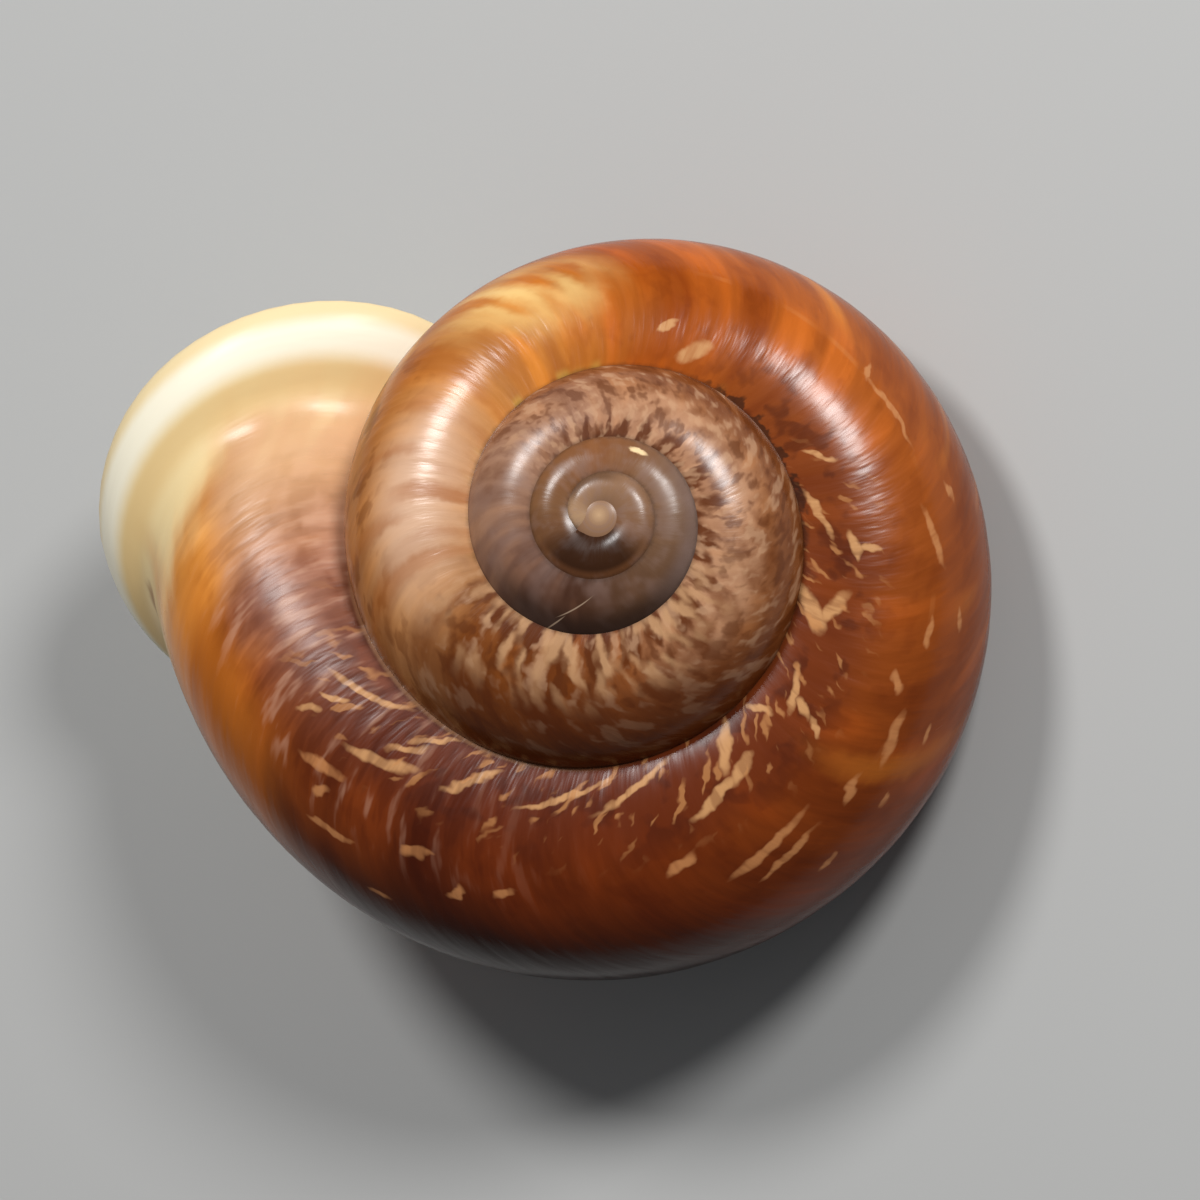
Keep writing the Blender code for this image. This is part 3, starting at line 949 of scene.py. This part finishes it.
# Pale flecks in two rows lower down
ROW_FLECKS = (
    (0.406, 65, 0.419, 60, 0.40),
    (0.272, 57, 0.279, 54, 0.36),
    (0.355, 57, 0.396, 50, 0.42),
    (0.113, 48, 0.153, 46, 0.30),
    (0.111, 48, 0.111, 42, 0.24),
    (0.189, 50, 0.219, 44, 0.36),
    (0.247, 48, 0.257, 47, 0.32),
    (0.294, 48, 0.317, 44, 0.42),
    (0.328, 50, 0.339, 47, 0.34),
    (0.360, 48, 0.392, 43, 0.30),
    (0.494, 56, 0.502, 52, 0.26),
    (0.533, 59, 0.543, 55, 0.34),
    (0.520, 51, 0.524, 47, 0.30),
    (0.573, 46, 0.593, 42, 0.32),
    (0.583, 64, 0.601, 60, 0.42),
    (0.586, 56, 0.592, 52, 0.30),
    (0.188, 35, 0.197, 33, 0.30),
    (0.250, 33, 0.258, 31, 0.28),
    (0.305, 32, 0.311, 30, 0.26),
    (0.338, 32, 0.344, 31, 0.24),
    (0.372, 32, 0.380, 30, 0.26),
    (0.560, 31, 0.568, 30, 0.26),
)

# Damage of the first whorls
CHIP = ((-1.972, 61, -1.945, 60, 0.85),)
SCRATCH = ((-1.548, 78, -1.49, 54, 0.13), (-1.50, 56, -1.466, 36, 0.12))


class Skin(Painter):
    """The horny skin: each method lays one feature's colours over what is there."""

    def __init__(self, groups):
        super().__init__("horny skin", groups, SKIN_FINENESS)
        tree, growth = self.tree, self.at["Growth"]
        self.ragged = self.jittered(self.at["Chart"])
        self.light_streaks = self.share(self.bands, 0.50, 0.68)
        self.dark_streaks = self.share(self.bands, 0.48, 0.30)
        stretched = vector_calc(tree, "MULTIPLY", self.ragged, (4.5, 3.5, 0.0))[0]
        self.blots = noise(tree, stretched, 1.0, 2.0, 0.6)
        self.dark_blots = self.share(self.blots, 0.50, 0.64)
        self.pale_blots = self.share(self.blots, 0.48, 0.34)
        self.wrinkled = self.zone((0.42, 0.54, 0.68, 0.75), (40.0, 60.0))
        away = self.share(self.at["Spread"], 0.3, 0.85)
        self.open_lines = times(tree, away, self.share(growth, -1.2, 0.0, low=0.15))
        patches = self.share(noise(tree, self.at["Place"], 1.6, 2.0, 0.6), 0.42, 0.68)
        self.worn = times(tree, patches, self.share(growth, -0.9, -1.4))

    def jittered(self, chart):
        """The chart with its places pushed about, so that what is drawn on it has ragged edges."""
        tree = self.tree
        rough = node(tree, "ShaderNodeTexNoise", {"Vector": chart, "Scale": RAGGED_SCALE, "Detail": 2.0})
        push = vector_calc(tree, "SUBTRACT", rough.outputs["Color"], (0.5, 0.5, 0.5))[0]
        push = vector_calc(tree, "MULTIPLY", push, (RAGGED_PUSH, RAGGED_PUSH, 0.0))[0]
        return vector_calc(tree, "ADD", chart, push)[0]

    def spot(self, growth, angle, half_length, half_width):
        """A soft patch round a place of growth and angle; its sizes are in turns and degrees."""
        place = node(self.tree, "ShaderNodeMapping", {"Vector": self.ragged}, vector_type="TEXTURE")
        middle = growth * PLACE_PER_TURN, math.radians(angle), 0.0
        place.inputs["Location"].default_value = middle
        halves = half_length * PLACE_PER_TURN, math.radians(half_width), 1.0
        place.inputs["Scale"].default_value = halves
        reach = vector_calc(self.tree, "LENGTH", place.outputs[0])["Value"]
        return self.share(reach, *SPOT_EDGE)

    def streaks(self, **inputs):
        return placed_group(self.tree, self.groups["streaks"], {"Chart": self.ragged, **inputs})[0]

    def marks(self, chart, drawn):
        """Spindle marks, each from one place of growth and angle to another, with its width in mm."""
        tree = self.tree
        lifted = vector_calc(tree, "ADD", chart, (0.0, 0.0, 1.0))[0]
        nearest = 10.0
        for growth, angle, end_growth, end_angle, width in drawn:
            start = Vector((growth * PLACE_PER_TURN, math.radians(angle)))
            end = Vector((end_growth * PLACE_PER_TURN, math.radians(end_angle)))
            middle = (start + end) / 2.0
            half_width = 0.5 * width / PLACE_UNIT_MM
            half_length = (end - start).length / 2.0 + half_width
            along = (end - start).normalized()
            across = Vector((-along.y, along.x))
            parts = []
            for axis, half in ((along, half_length), (across, half_width)):
                row = (axis.x / half, axis.y / half, -axis.dot(middle) / half)
                parts.append(vector_calc(tree, "DOT_PRODUCT", lifted, row)["Value"])
            square = times(tree, parts[0], parts[0])
            square = calc(tree, "MULTIPLY_ADD", parts[1], parts[1], square)
            nearest = calc(tree, "MINIMUM", nearest, square)
        return self.share(nearest, *MARK_EDGE)

    def ground(self):
        """Tones along the growth, and streaks laid down with it that fade towards the axis."""
        tree, growth = self.tree, self.at["Growth"]
        wandering = calc(tree, "SUBTRACT", self.bands, 0.5)
        wandering = calc(tree, "MULTIPLY_ADD", wandering, 0.10, growth)
        self.colour = ramp(tree, wandering, GROWTH_TONES, START_TURN, TONES_END)
        calm = self.share(growth, -0.55, -0.42, -0.2, -0.08)
        later = self.share(growth, -2.4, -0.4, low=0.05, high=0.55)
        later = times(tree, later, calc(tree, "MULTIPLY_ADD", calm, -0.55, 1.0))
        self.tint((1.7, 1.7, 1.5), self.light_streaks, later)
        self.tint((0.55, 0.42, 0.34), self.dark_streaks, later)
        self.tint((1.3, 1.35, 1.4), self.share(self.lines, 0.40, 0.66), self.open_lines, 0.35)
        self.tint((0.66, 0.56, 0.5), self.dark_blots, later, 0.6)

    def upper_side(self):
        """Darker, mauve-brown upper side of the last whorl by the suture."""
        bloom = self.zone((-0.02, 0.10, 0.62, 0.70), (62.0, 84.0))
        self.lay((98, 40, 17), bloom, 0.65)
        self.lay((62, 22, 10), bloom, self.dark_blots, 0.45)
        mauve = self.zone((0.56, 0.66, 0.72, 0.76), (54.0, 74.0))
        self.lay((128, 74, 54), mauve, 0.65)
        pink = self.zone((0.62, 0.69, 0.72, 0.76), (50.0, 80.0))
        self.lay((204, 152, 126), pink, self.share(self.blots, 0.64, 0.40, low=0.25), 0.55)

    def wrinkles(self):
        """Dark and light lines of the wrinkled stretch, and how the skin fades before the lip."""
        self.tint((0.6, 0.48, 0.4), self.wrinkled, self.share(self.lines, 0.52, 0.36), 0.5)
        later = self.share(self.at["Growth"], 0.50, 0.62, low=0.2)
        self.lay((212, 164, 136), self.wrinkled, self.share(self.lines, 0.54, 0.70), 0.4, later)
        self.lay((244, 200, 152), self.zone((0.67, 0.745), (52.0, 78.0)), 0.6)

    def outer_side(self):
        """Orange on the outer side, and the darkest brown low on the last half whorl, partly its own colour
        and partly painted shade.
        """
        glow = self.zone((0.0, 0.08, 0.2, 0.3), (-40.0, 0.0, 24.0, 44.0))
        self.lay((226, 140, 48), glow, self.light_streaks, 0.6)
        # Darkest brown low on the last half whorl: partly the skin's own dark brown, partly painted shade
        # where it faces away from the lights
        dark_brown_and_shade = self.zone((0.38, 0.48, 0.56, 0.66), (60.0, 14.0))
        self.lay((30, 9, 2), dark_brown_and_shade, 0.88)
        amber = self.zone((0.60, 0.655, 0.69, 0.73), (0.0, 20.0, 46.0, 64.0))
        self.lay((216, 122, 32), amber, 0.5)
        seam = self.spot(0.322, 38.0, 0.012, 48.0)
        self.lay((206, 120, 40), seam, 0.35)

    def whorl_before(self):
        """Whorl before the last: pale mauve, darker below, with brown flames from both sides."""
        growth, angle = self.at["Growth"], self.at["Angle"]
        pale = self.zone((-1.12, -1.0, -0.72, -0.6), (46.0, 62.0))
        self.lay((194, 146, 112), pale, 0.65)
        lower = self.zone((-1.3, -1.1, -0.6, -0.5), (58.0, 32.0))
        self.lay((124, 66, 26), lower, 0.7)
        spikes = self.streaks(Lean=12.0, Along=1.6, Across=5.2, Least=0.30, Softness=0.4, Seed=3.0)
        short = self.share(angle, 98.0, 64.0, high=0.95)
        spikes = self.share(calc(self.tree, "SUBTRACT", spikes, short), -0.1, 0.4)
        self.lay((92, 42, 10), spikes, self.share(growth, -1.22, -1.10, -0.46, -0.38), 0.92)
        flames = self.streaks(Lean=56.0, Along=1.8, Across=5.0, Least=0.36, Softness=0.34, Seed=8.0)
        there = self.share(growth, -1.12, -0.96, -0.66, -0.56)
        self.lay((112, 56, 18), flames, there, self.share(angle, 90.0, 62.0, low=0.45), 0.75)
        mottled = self.share(growth, -1.3, -1.12, -0.44, -0.36)
        self.lay((96, 48, 18), self.dark_blots, mottled, 0.65)
        self.lay((204, 160, 124), self.pale_blots, mottled, 0.5)
        dark = self.zone((-0.74, -0.62, -0.46, -0.38), (84.0, 50.0))
        self.lay((82, 34, 8), dark, 0.7)
        zigzag = self.streaks(Lean=-10.0, Along=2.6, Across=5.4, Least=0.44, Softness=0.22, Seed=5.0)
        upper = self.zone((-0.82, -0.70, -0.44, -0.36), (48.0, 80.0))
        self.lay((196, 150, 108), zigzag, upper, 0.8)

    def pale_stretch_and_highlight(self):
        """Pale stretch before the last whorl starts, with a painted highlight over its middle, and its
        ragged yellow end.
        """
        # Pale pinkish patch: partly the skin's own pale tone, partly a painted highlight where a light
        # strikes
        self.lay((226, 188, 160), self.spot(-0.30, 72.0, 0.13, 38.0), 0.75)
        under = self.zone((-0.44, -0.36, -0.2, -0.14), (62.0, 34.0))
        self.tint((0.74, 0.56, 0.36), under, 0.8)
        self.lay((124, 68, 26), under, self.dark_blots, 0.65)
        brown = self.streaks(Lean=4.0, Along=0.7, Across=3.4, Least=0.45, Softness=0.22, Seed=21.0)
        there = self.share(self.at["Growth"], -0.40, -0.34, -0.10, -0.02)
        self.lay((162, 88, 28), brown, there, 0.6)
        cream = self.streaks(Lean=-6.0, Along=1.3, Across=4.0, Least=0.32, Softness=0.3, Seed=30.0)
        self.lay((240, 200, 128), cream, self.spot(-0.112, 46.0, 0.07, 40.0), 0.95)
        margin = self.zone((-0.4, -0.3, -0.02, 0.06), (93.0, 98.0))
        self.lay((206, 160, 72), margin, self.dark_streaks, 0.6)

    def flecks(self):
        """Pale flecks, cut by the growth lines, small ones between them, and a faint row."""
        cut = self.share(self.lines, 0.34, 0.56, low=0.6)
        self.lay((208, 154, 102), self.marks(self.ragged, SUTURE_FLECKS), cut, 0.9)
        self.lay((202, 136, 84), self.marks(self.ragged, ROW_FLECKS), cut, 0.8)
        small = self.streaks(Lean=30.0, Along=4.4, Across=15.0, Least=0.60, Softness=0.1, Seed=1.0)
        there = self.zone((0.08, 0.2, 0.6, 0.68), (62.0, 84.0, 104.0, 110.0))
        self.lay((200, 138, 84), small, there, 0.6)
        row = self.zone((-0.06, 0.02, 0.40, 0.46), (46.2, 47.4, 48.6, 49.8))
        self.lay((214, 140, 80), row, self.light_streaks, 0.22)

    def first_whorls(self):
        """Worn first whorls: painted shade in their hollows, a darker stretch low down, a grey stretch, a
        chip and a scratch.
        """
        self.lay((140, 112, 102), self.worn, 0.3)
        # Painted shade on an early whorl beside its suture, where it faces away from the lights
        self.lay((44, 22, 8), self.zone((-2.72, -2.6, -2.42, -2.3), (52.0, 66.0)), 0.85)
        # Painted shadow in the groove round the first chamber
        painted_groove_shadow = self.zone((-3.22, -3.12, -3.0, -2.9), (20.0, 44.0, 62.0, 84.0))
        self.lay((72, 44, 24), painted_groove_shadow, 0.6)
        # Darker low down on a later early whorl
        self.lay((44, 28, 20), self.zone((-1.76, -1.62, -1.44, -1.34), (72.0, 48.0)), 0.75)
        self.lay((130, 110, 104), self.zone((-1.95, -1.85, -1.72, -1.62), (72.0, 50.0)), 0.5)
        self.lay((250, 218, 168), self.marks(self.ragged, CHIP), 0.95)
        self.lay((206, 178, 150), self.marks(self.at["Chart"], SCRATCH), 0.5)

    def suture_dirt_and_shade(self):
        """Dark in the sutures: dirt, thickest beside the start of the last whorl, and painted shade along
        every suture's crease; and a pale thread.
        """
        tree, growth, crevice = self.tree, self.at["Growth"], self.at["Crevice"]
        grime = self.share(noise(tree, self.at["Place"], 9.0, 2.0, 0.6), 0.38, 0.66)
        beside = self.share(growth, 0.0, 0.05, 0.14, 0.24)
        thick = times(tree, grime, calc(tree, "MULTIPLY_ADD", beside, 0.34, 0.05))
        # Darkening near the crease between whorls: dirt where the grime is thick, painted shade along the
        # rest of the suture
        near = self.share(calc(tree, "SUBTRACT", crevice, thick), 0.14, -0.12)
        dense = calc(tree, "MULTIPLY_ADD", beside, 0.25, 0.5)
        self.lay((40, 24, 15), near, dense, self.share(growth, 0.46, 0.34))
        thread = self.share(crevice, 0.20, 0.06)
        self.lay((178, 128, 92), thread, self.share(growth, 0.40, 0.54, 0.72, 0.77), 0.7)

    def lip(self):
        """Lip: ragged start, tan groove of painted shade, ivory roll of painted highlight, yellow edge
        partly darkened by painted shade, and a stain.
        """
        tree, run = self.tree, self.at["Run"]
        ragged_run = calc(tree, "SUBTRACT", self.bands, 0.5)
        ragged_run = calc(tree, "MULTIPLY_ADD", ragged_run, 3.0, run)
        spurs = self.streaks(Lean=90.0, Along=1.2, Across=4.6, Least=0.25, Softness=0.5, Seed=50.0)
        ragged_run = calc(tree, "MULTIPLY_ADD", spurs, -2.0, ragged_run)
        above = self.share(self.at["Angle"], 40.0, 75.0, high=1.8)
        on_lip = self.share(calc(tree, "SUBTRACT", ragged_run, above), -3.4, 0.7)
        self.lay((240, 214, 160), on_lip)
        # Tan in the groove where the flare starts: painted shade
        self.lay((228, 192, 130), self.share(run, 0.9, 1.6, 2.0, 2.5), 0.6)
        # Ivory on the roll of the flare: painted highlight
        self.lay((252, 244, 220), self.share(run, 2.1, 2.8))
        # Yellower edge where the rim turns into the mouth: partly the lip's own tint, partly painted shade
        self.lay((238, 208, 146), self.share(run, 3.3, 3.9, 4.6, 5.4), 0.75)
        self.lay((140, 82, 32), self.spot(0.747, 7.0, 0.007, 6.0), 0.8)
        return on_lip


def skin_material(groups):
    skin = Skin(groups)
    skin.ground()
    skin.upper_side()
    skin.wrinkles()
    skin.outer_side()
    skin.whorl_before()
    skin.pale_stretch_and_highlight()
    skin.flecks()
    skin.first_whorls()
    skin.suture_dirt_and_shade()
    on_lip = skin.lip()
    tree = skin.tree
    rough = calc(tree, "MULTIPLY_ADD", skin.lines, 0.14, 0.17)
    for share, more in ((skin.worn, 0.10), (on_lip, 0.20), (skin.wrinkled, 0.10)):
        rough = calc(tree, "MULTIPLY_ADD", share, more, rough)
    skin.surface.inputs["IOR"].default_value = 1.36
    skin.surface.inputs["Coat Weight"].default_value = 0.05
    skin.surface.inputs["Coat Roughness"].default_value = 0.16
    steep = calc(tree, "MULTIPLY_ADD", skin.wrinkled, 1.4, skin.open_lines)
    return skin.finish(rough, times(tree, skin.lines, steep), 0.55)


def lining_material(groups):
    """Smooth pale lining of the mouth and the hollow."""
    lining = Painter("lining", groups, LINING_FINENESS)
    lining.colour = colour(238, 216, 172)
    lining.lay((196, 148, 104), lining.share(lining.at["Run"], 10.0, 26.0))
    lining.lay((224, 190, 150), lining.share(lining.bands, 0.4, 0.62), 0.25)
    rough = calc(lining.tree, "MULTIPLY_ADD", lining.lines, 0.12, 0.2)
    return lining.finish(rough, lining.bands, 0.4)


# Growth relief

RELIEF_INPUTS = (
    ("Wrinkles per turn", WRINKLES_PER_TURN),
    ("Wrinkle height", WRINKLE_HEIGHT * MM),
    ("Lines per turn", LINES_PER_TURN),
    ("Line height", LINE_HEIGHT * MM),
    ("Lip start", LIP_FROM_RUN),
    ("Lining start", LINING_FROM_RUN),
    ("Resting height", 0.0),
)


def relief_tree():
    """Raises growth wrinkles and lines on the outer face, and flattens what touches the ground."""
    tree = bpy.data.node_groups.new("growth relief", "GeometryNodeTree")
    tree.interface.new_socket("Geometry", in_out="INPUT", socket_type="NodeSocketGeometry")
    for label, default in RELIEF_INPUTS:
        socket = tree.interface.new_socket(label, in_out="INPUT", socket_type=FLOAT)
        socket.default_value = default
    for label in ("Skin", "Lining"):
        tree.interface.new_socket(label, in_out="INPUT", socket_type="NodeSocketMaterial")
    tree.interface.new_socket("Geometry", in_out="OUTPUT", socket_type="NodeSocketGeometry")
    given = tree.nodes.new("NodeGroupInput").outputs
    out = tree.nodes.new("NodeGroupOutput").inputs

    def named(name, kind="FLOAT"):
        made = node(tree, "GeometryNodeInputNamedAttribute", {"Name": name}, data_type=kind)
        return made.outputs["Attribute"]

    growth, run = named("growth"), named("run")
    ring = parts_of(tree, named("around", "FLOAT_VECTOR"))
    heights = []
    for layer, slack in (("Wrinkle", WRINKLE_SLACK), ("Line", LINE_SLACK)):
        along = times(tree, growth, given[f"{layer}s per turn"])
        across, up = [times(tree, ring[axis], slack) for axis in ("X", "Y")]
        value = noise(tree, vector_of(tree, along, across, up), 1.0, 1.0)
        rise = calc(tree, "SUBTRACT", value, 0.5)
        heights.append(times(tree, rise, given[f"{layer} height"]))
    height = times(tree, calc(tree, "ADD", *heights), named("tube size"), named("spread"))
    inputs = {"Value": run, "From Min": given["Lip start"], "To Min": 1.0, "To Max": RELIEF_ON_LIP}
    inputs["From Max"] = calc(tree, "ADD", given["Lip start"], LIP_FADE)
    height = times(tree, height, node(tree, "ShaderNodeMapRange", inputs).outputs[0])
    offset = node(tree, "ShaderNodeVectorMath", {"Scale": height}, operation="SCALE")
    linked(tree, offset.inputs[0], tree.nodes.new("GeometryNodeInputNormal").outputs[0])
    inputs = {"Geometry": given["Geometry"], "Offset": offset.outputs[0]}
    raised = node(tree, "GeometryNodeSetPosition", inputs)
    parts = parts_of(tree, tree.nodes.new("GeometryNodeInputPosition").outputs[0])
    level = calc(tree, "MAXIMUM", parts["Z"], given["Resting height"])
    resting = vector_of(tree, parts["X"], parts["Y"], level)
    inputs = {"Geometry": raised.outputs[0], "Position": resting}
    rested = node(tree, "GeometryNodeSetPosition", inputs)
    smooth = node(tree, "GeometryNodeSetShadeSmooth", {"Geometry": rested.outputs[0]})
    real = node(tree, "GeometryNodeRealizeInstances", {"Geometry": smooth.outputs[0]})
    inputs = {"Geometry": real.outputs[0], "Material": given["Skin"]}
    skin = node(tree, "GeometryNodeSetMaterial", inputs)
    inputs = {0: run, 1: given["Lining start"]}
    inside = node(tree, "FunctionNodeCompare", inputs, data_type="FLOAT", operation="GREATER_THAN")
    inputs = {"Geometry": skin.outputs[0], "Selection": inside.outputs[0], "Material": given["Lining"]}
    lining = node(tree, "GeometryNodeSetMaterial", inputs)
    linked(tree, out["Geometry"], lining.outputs[0])
    return tree


def set_input(modifier, label, value):
    """Sets a modifier's named input by its socket's identifier."""
    for item in modifier.node_group.interface.items_tree:
        if item.item_type == "SOCKET" and item.in_out == "INPUT" and item.name == label:
            modifier[item.identifier] = value


def carried_out(item):
    """Replaces an object's mesh with what its modifiers make of it."""
    bpy.context.view_layer.update()
    graph = bpy.context.evaluated_depsgraph_get()
    mesh = bpy.data.meshes.new_from_object(item.evaluated_get(graph))
    item.modifiers.clear()
    item.data = mesh


def make_shell():
    shell, shift = make_skin()
    groups = {
        "place": place_group(),
        "growth lines": growth_line_group(),
        "streaks": streak_group(),
    }
    relief = shell.modifiers.new("growth relief", "NODES")
    relief.node_group = relief_tree()
    set_input(relief, "Skin", skin_material(groups))
    set_input(relief, "Lining", lining_material(groups))
    carried_out(shell)
    shell.data.set_sharp_from_angle(angle=math.radians(SHARP_DEG))
    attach(shell, "root")
    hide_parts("shell")
    return shell, shift


# Studio

def leaned(direction):
    """A direction of the upright coil, as it points once the shell lies down."""
    return (rest_turn() @ Vector(direction)).normalized()


def make_camera(shift):
    toward = leaned(VIEW_FROM)
    data = bpy.data.cameras.new("camera")
    camera = bpy.data.objects.new("camera", data)
    bpy.context.scene.collection.objects.link(camera)
    bpy.context.scene.camera = camera
    data.sensor_width = SENSOR
    data.lens = SENSOR * CAMERA_DISTANCE / (PICTURE_SIDE * MM_PER_PIXEL * MM)
    data.clip_start, data.clip_end = CLIP_DISTANCES
    view_from = Vector(VIEW_FROM)
    level = Vector((1.0, 0.0, 0.0)) - view_from * view_from.x / view_from.length_squared
    right = leaned(level)
    up = toward.cross(right)
    half = PICTURE_SIDE / 2.0
    across = (half - AXIS_PIXEL[0]) * MM_PER_PIXEL * MM
    rise = (AXIS_PIXEL[1] - half) * MM_PER_PIXEL * MM
    target = Vector(shift) + right * across + up * rise + toward * TARGET_DEPTH
    frame_matrix = Matrix((right, up, toward)).transposed().to_4x4()
    camera.matrix_world = Matrix.Translation(target + toward * CAMERA_DISTANCE) @ frame_matrix
    return target


def make_light(name, target, direction, size, power):
    data = bpy.data.lights.new(name, "AREA")
    data.shape = "DISK"
    data.size = size
    data.energy = power
    light = bpy.data.objects.new(name, data)
    bpy.context.scene.collection.objects.link(light)
    back = direction.normalized()
    right = Vector((0.0, 0.0, 1.0)).cross(back).normalized()
    up = back.cross(right)
    turn = Matrix((right, up, back)).transposed().to_4x4()
    light.matrix_world = Matrix.Translation(target + back * LIGHT_DISTANCE) @ turn


def make_studio(target):
    floor_mesh = bpy.data.meshes.new("floor")
    side = FLOOR_HALF_SIDE
    corners = [(-side, -side, 0.0), (side, -side, 0.0), (side, side, 0.0), (-side, side, 0.0)]
    floor_mesh.from_pydata(corners, [], [(0, 1, 2, 3)])
    floor = bpy.data.objects.new("floor", floor_mesh)
    bpy.context.scene.collection.objects.link(floor)
    paper = bpy.data.materials.new("pale paper")
    paper.use_nodes = True
    surface = paper.node_tree.nodes["Principled BSDF"]
    surface.inputs["Base Color"].default_value = FLOOR_TONE
    surface.inputs["Roughness"].default_value = FLOOR_ROUGHNESS
    floor_mesh.materials.append(paper)
    world = bpy.data.worlds.new("studio")
    bpy.context.scene.world = world
    world.use_nodes = True
    backdrop = world.node_tree.nodes["Background"]
    backdrop.inputs["Color"].default_value = WORLD_TONE
    backdrop.inputs["Strength"].default_value = WORLD_STRENGTH
    for name, direction, size, power in LIGHTS:
        make_light(name, target, leaned(direction), size, power)
    bpy.context.scene.view_settings.view_transform = "Standard"


shell, axis_place = make_shell()
make_studio(make_camera(axis_place))
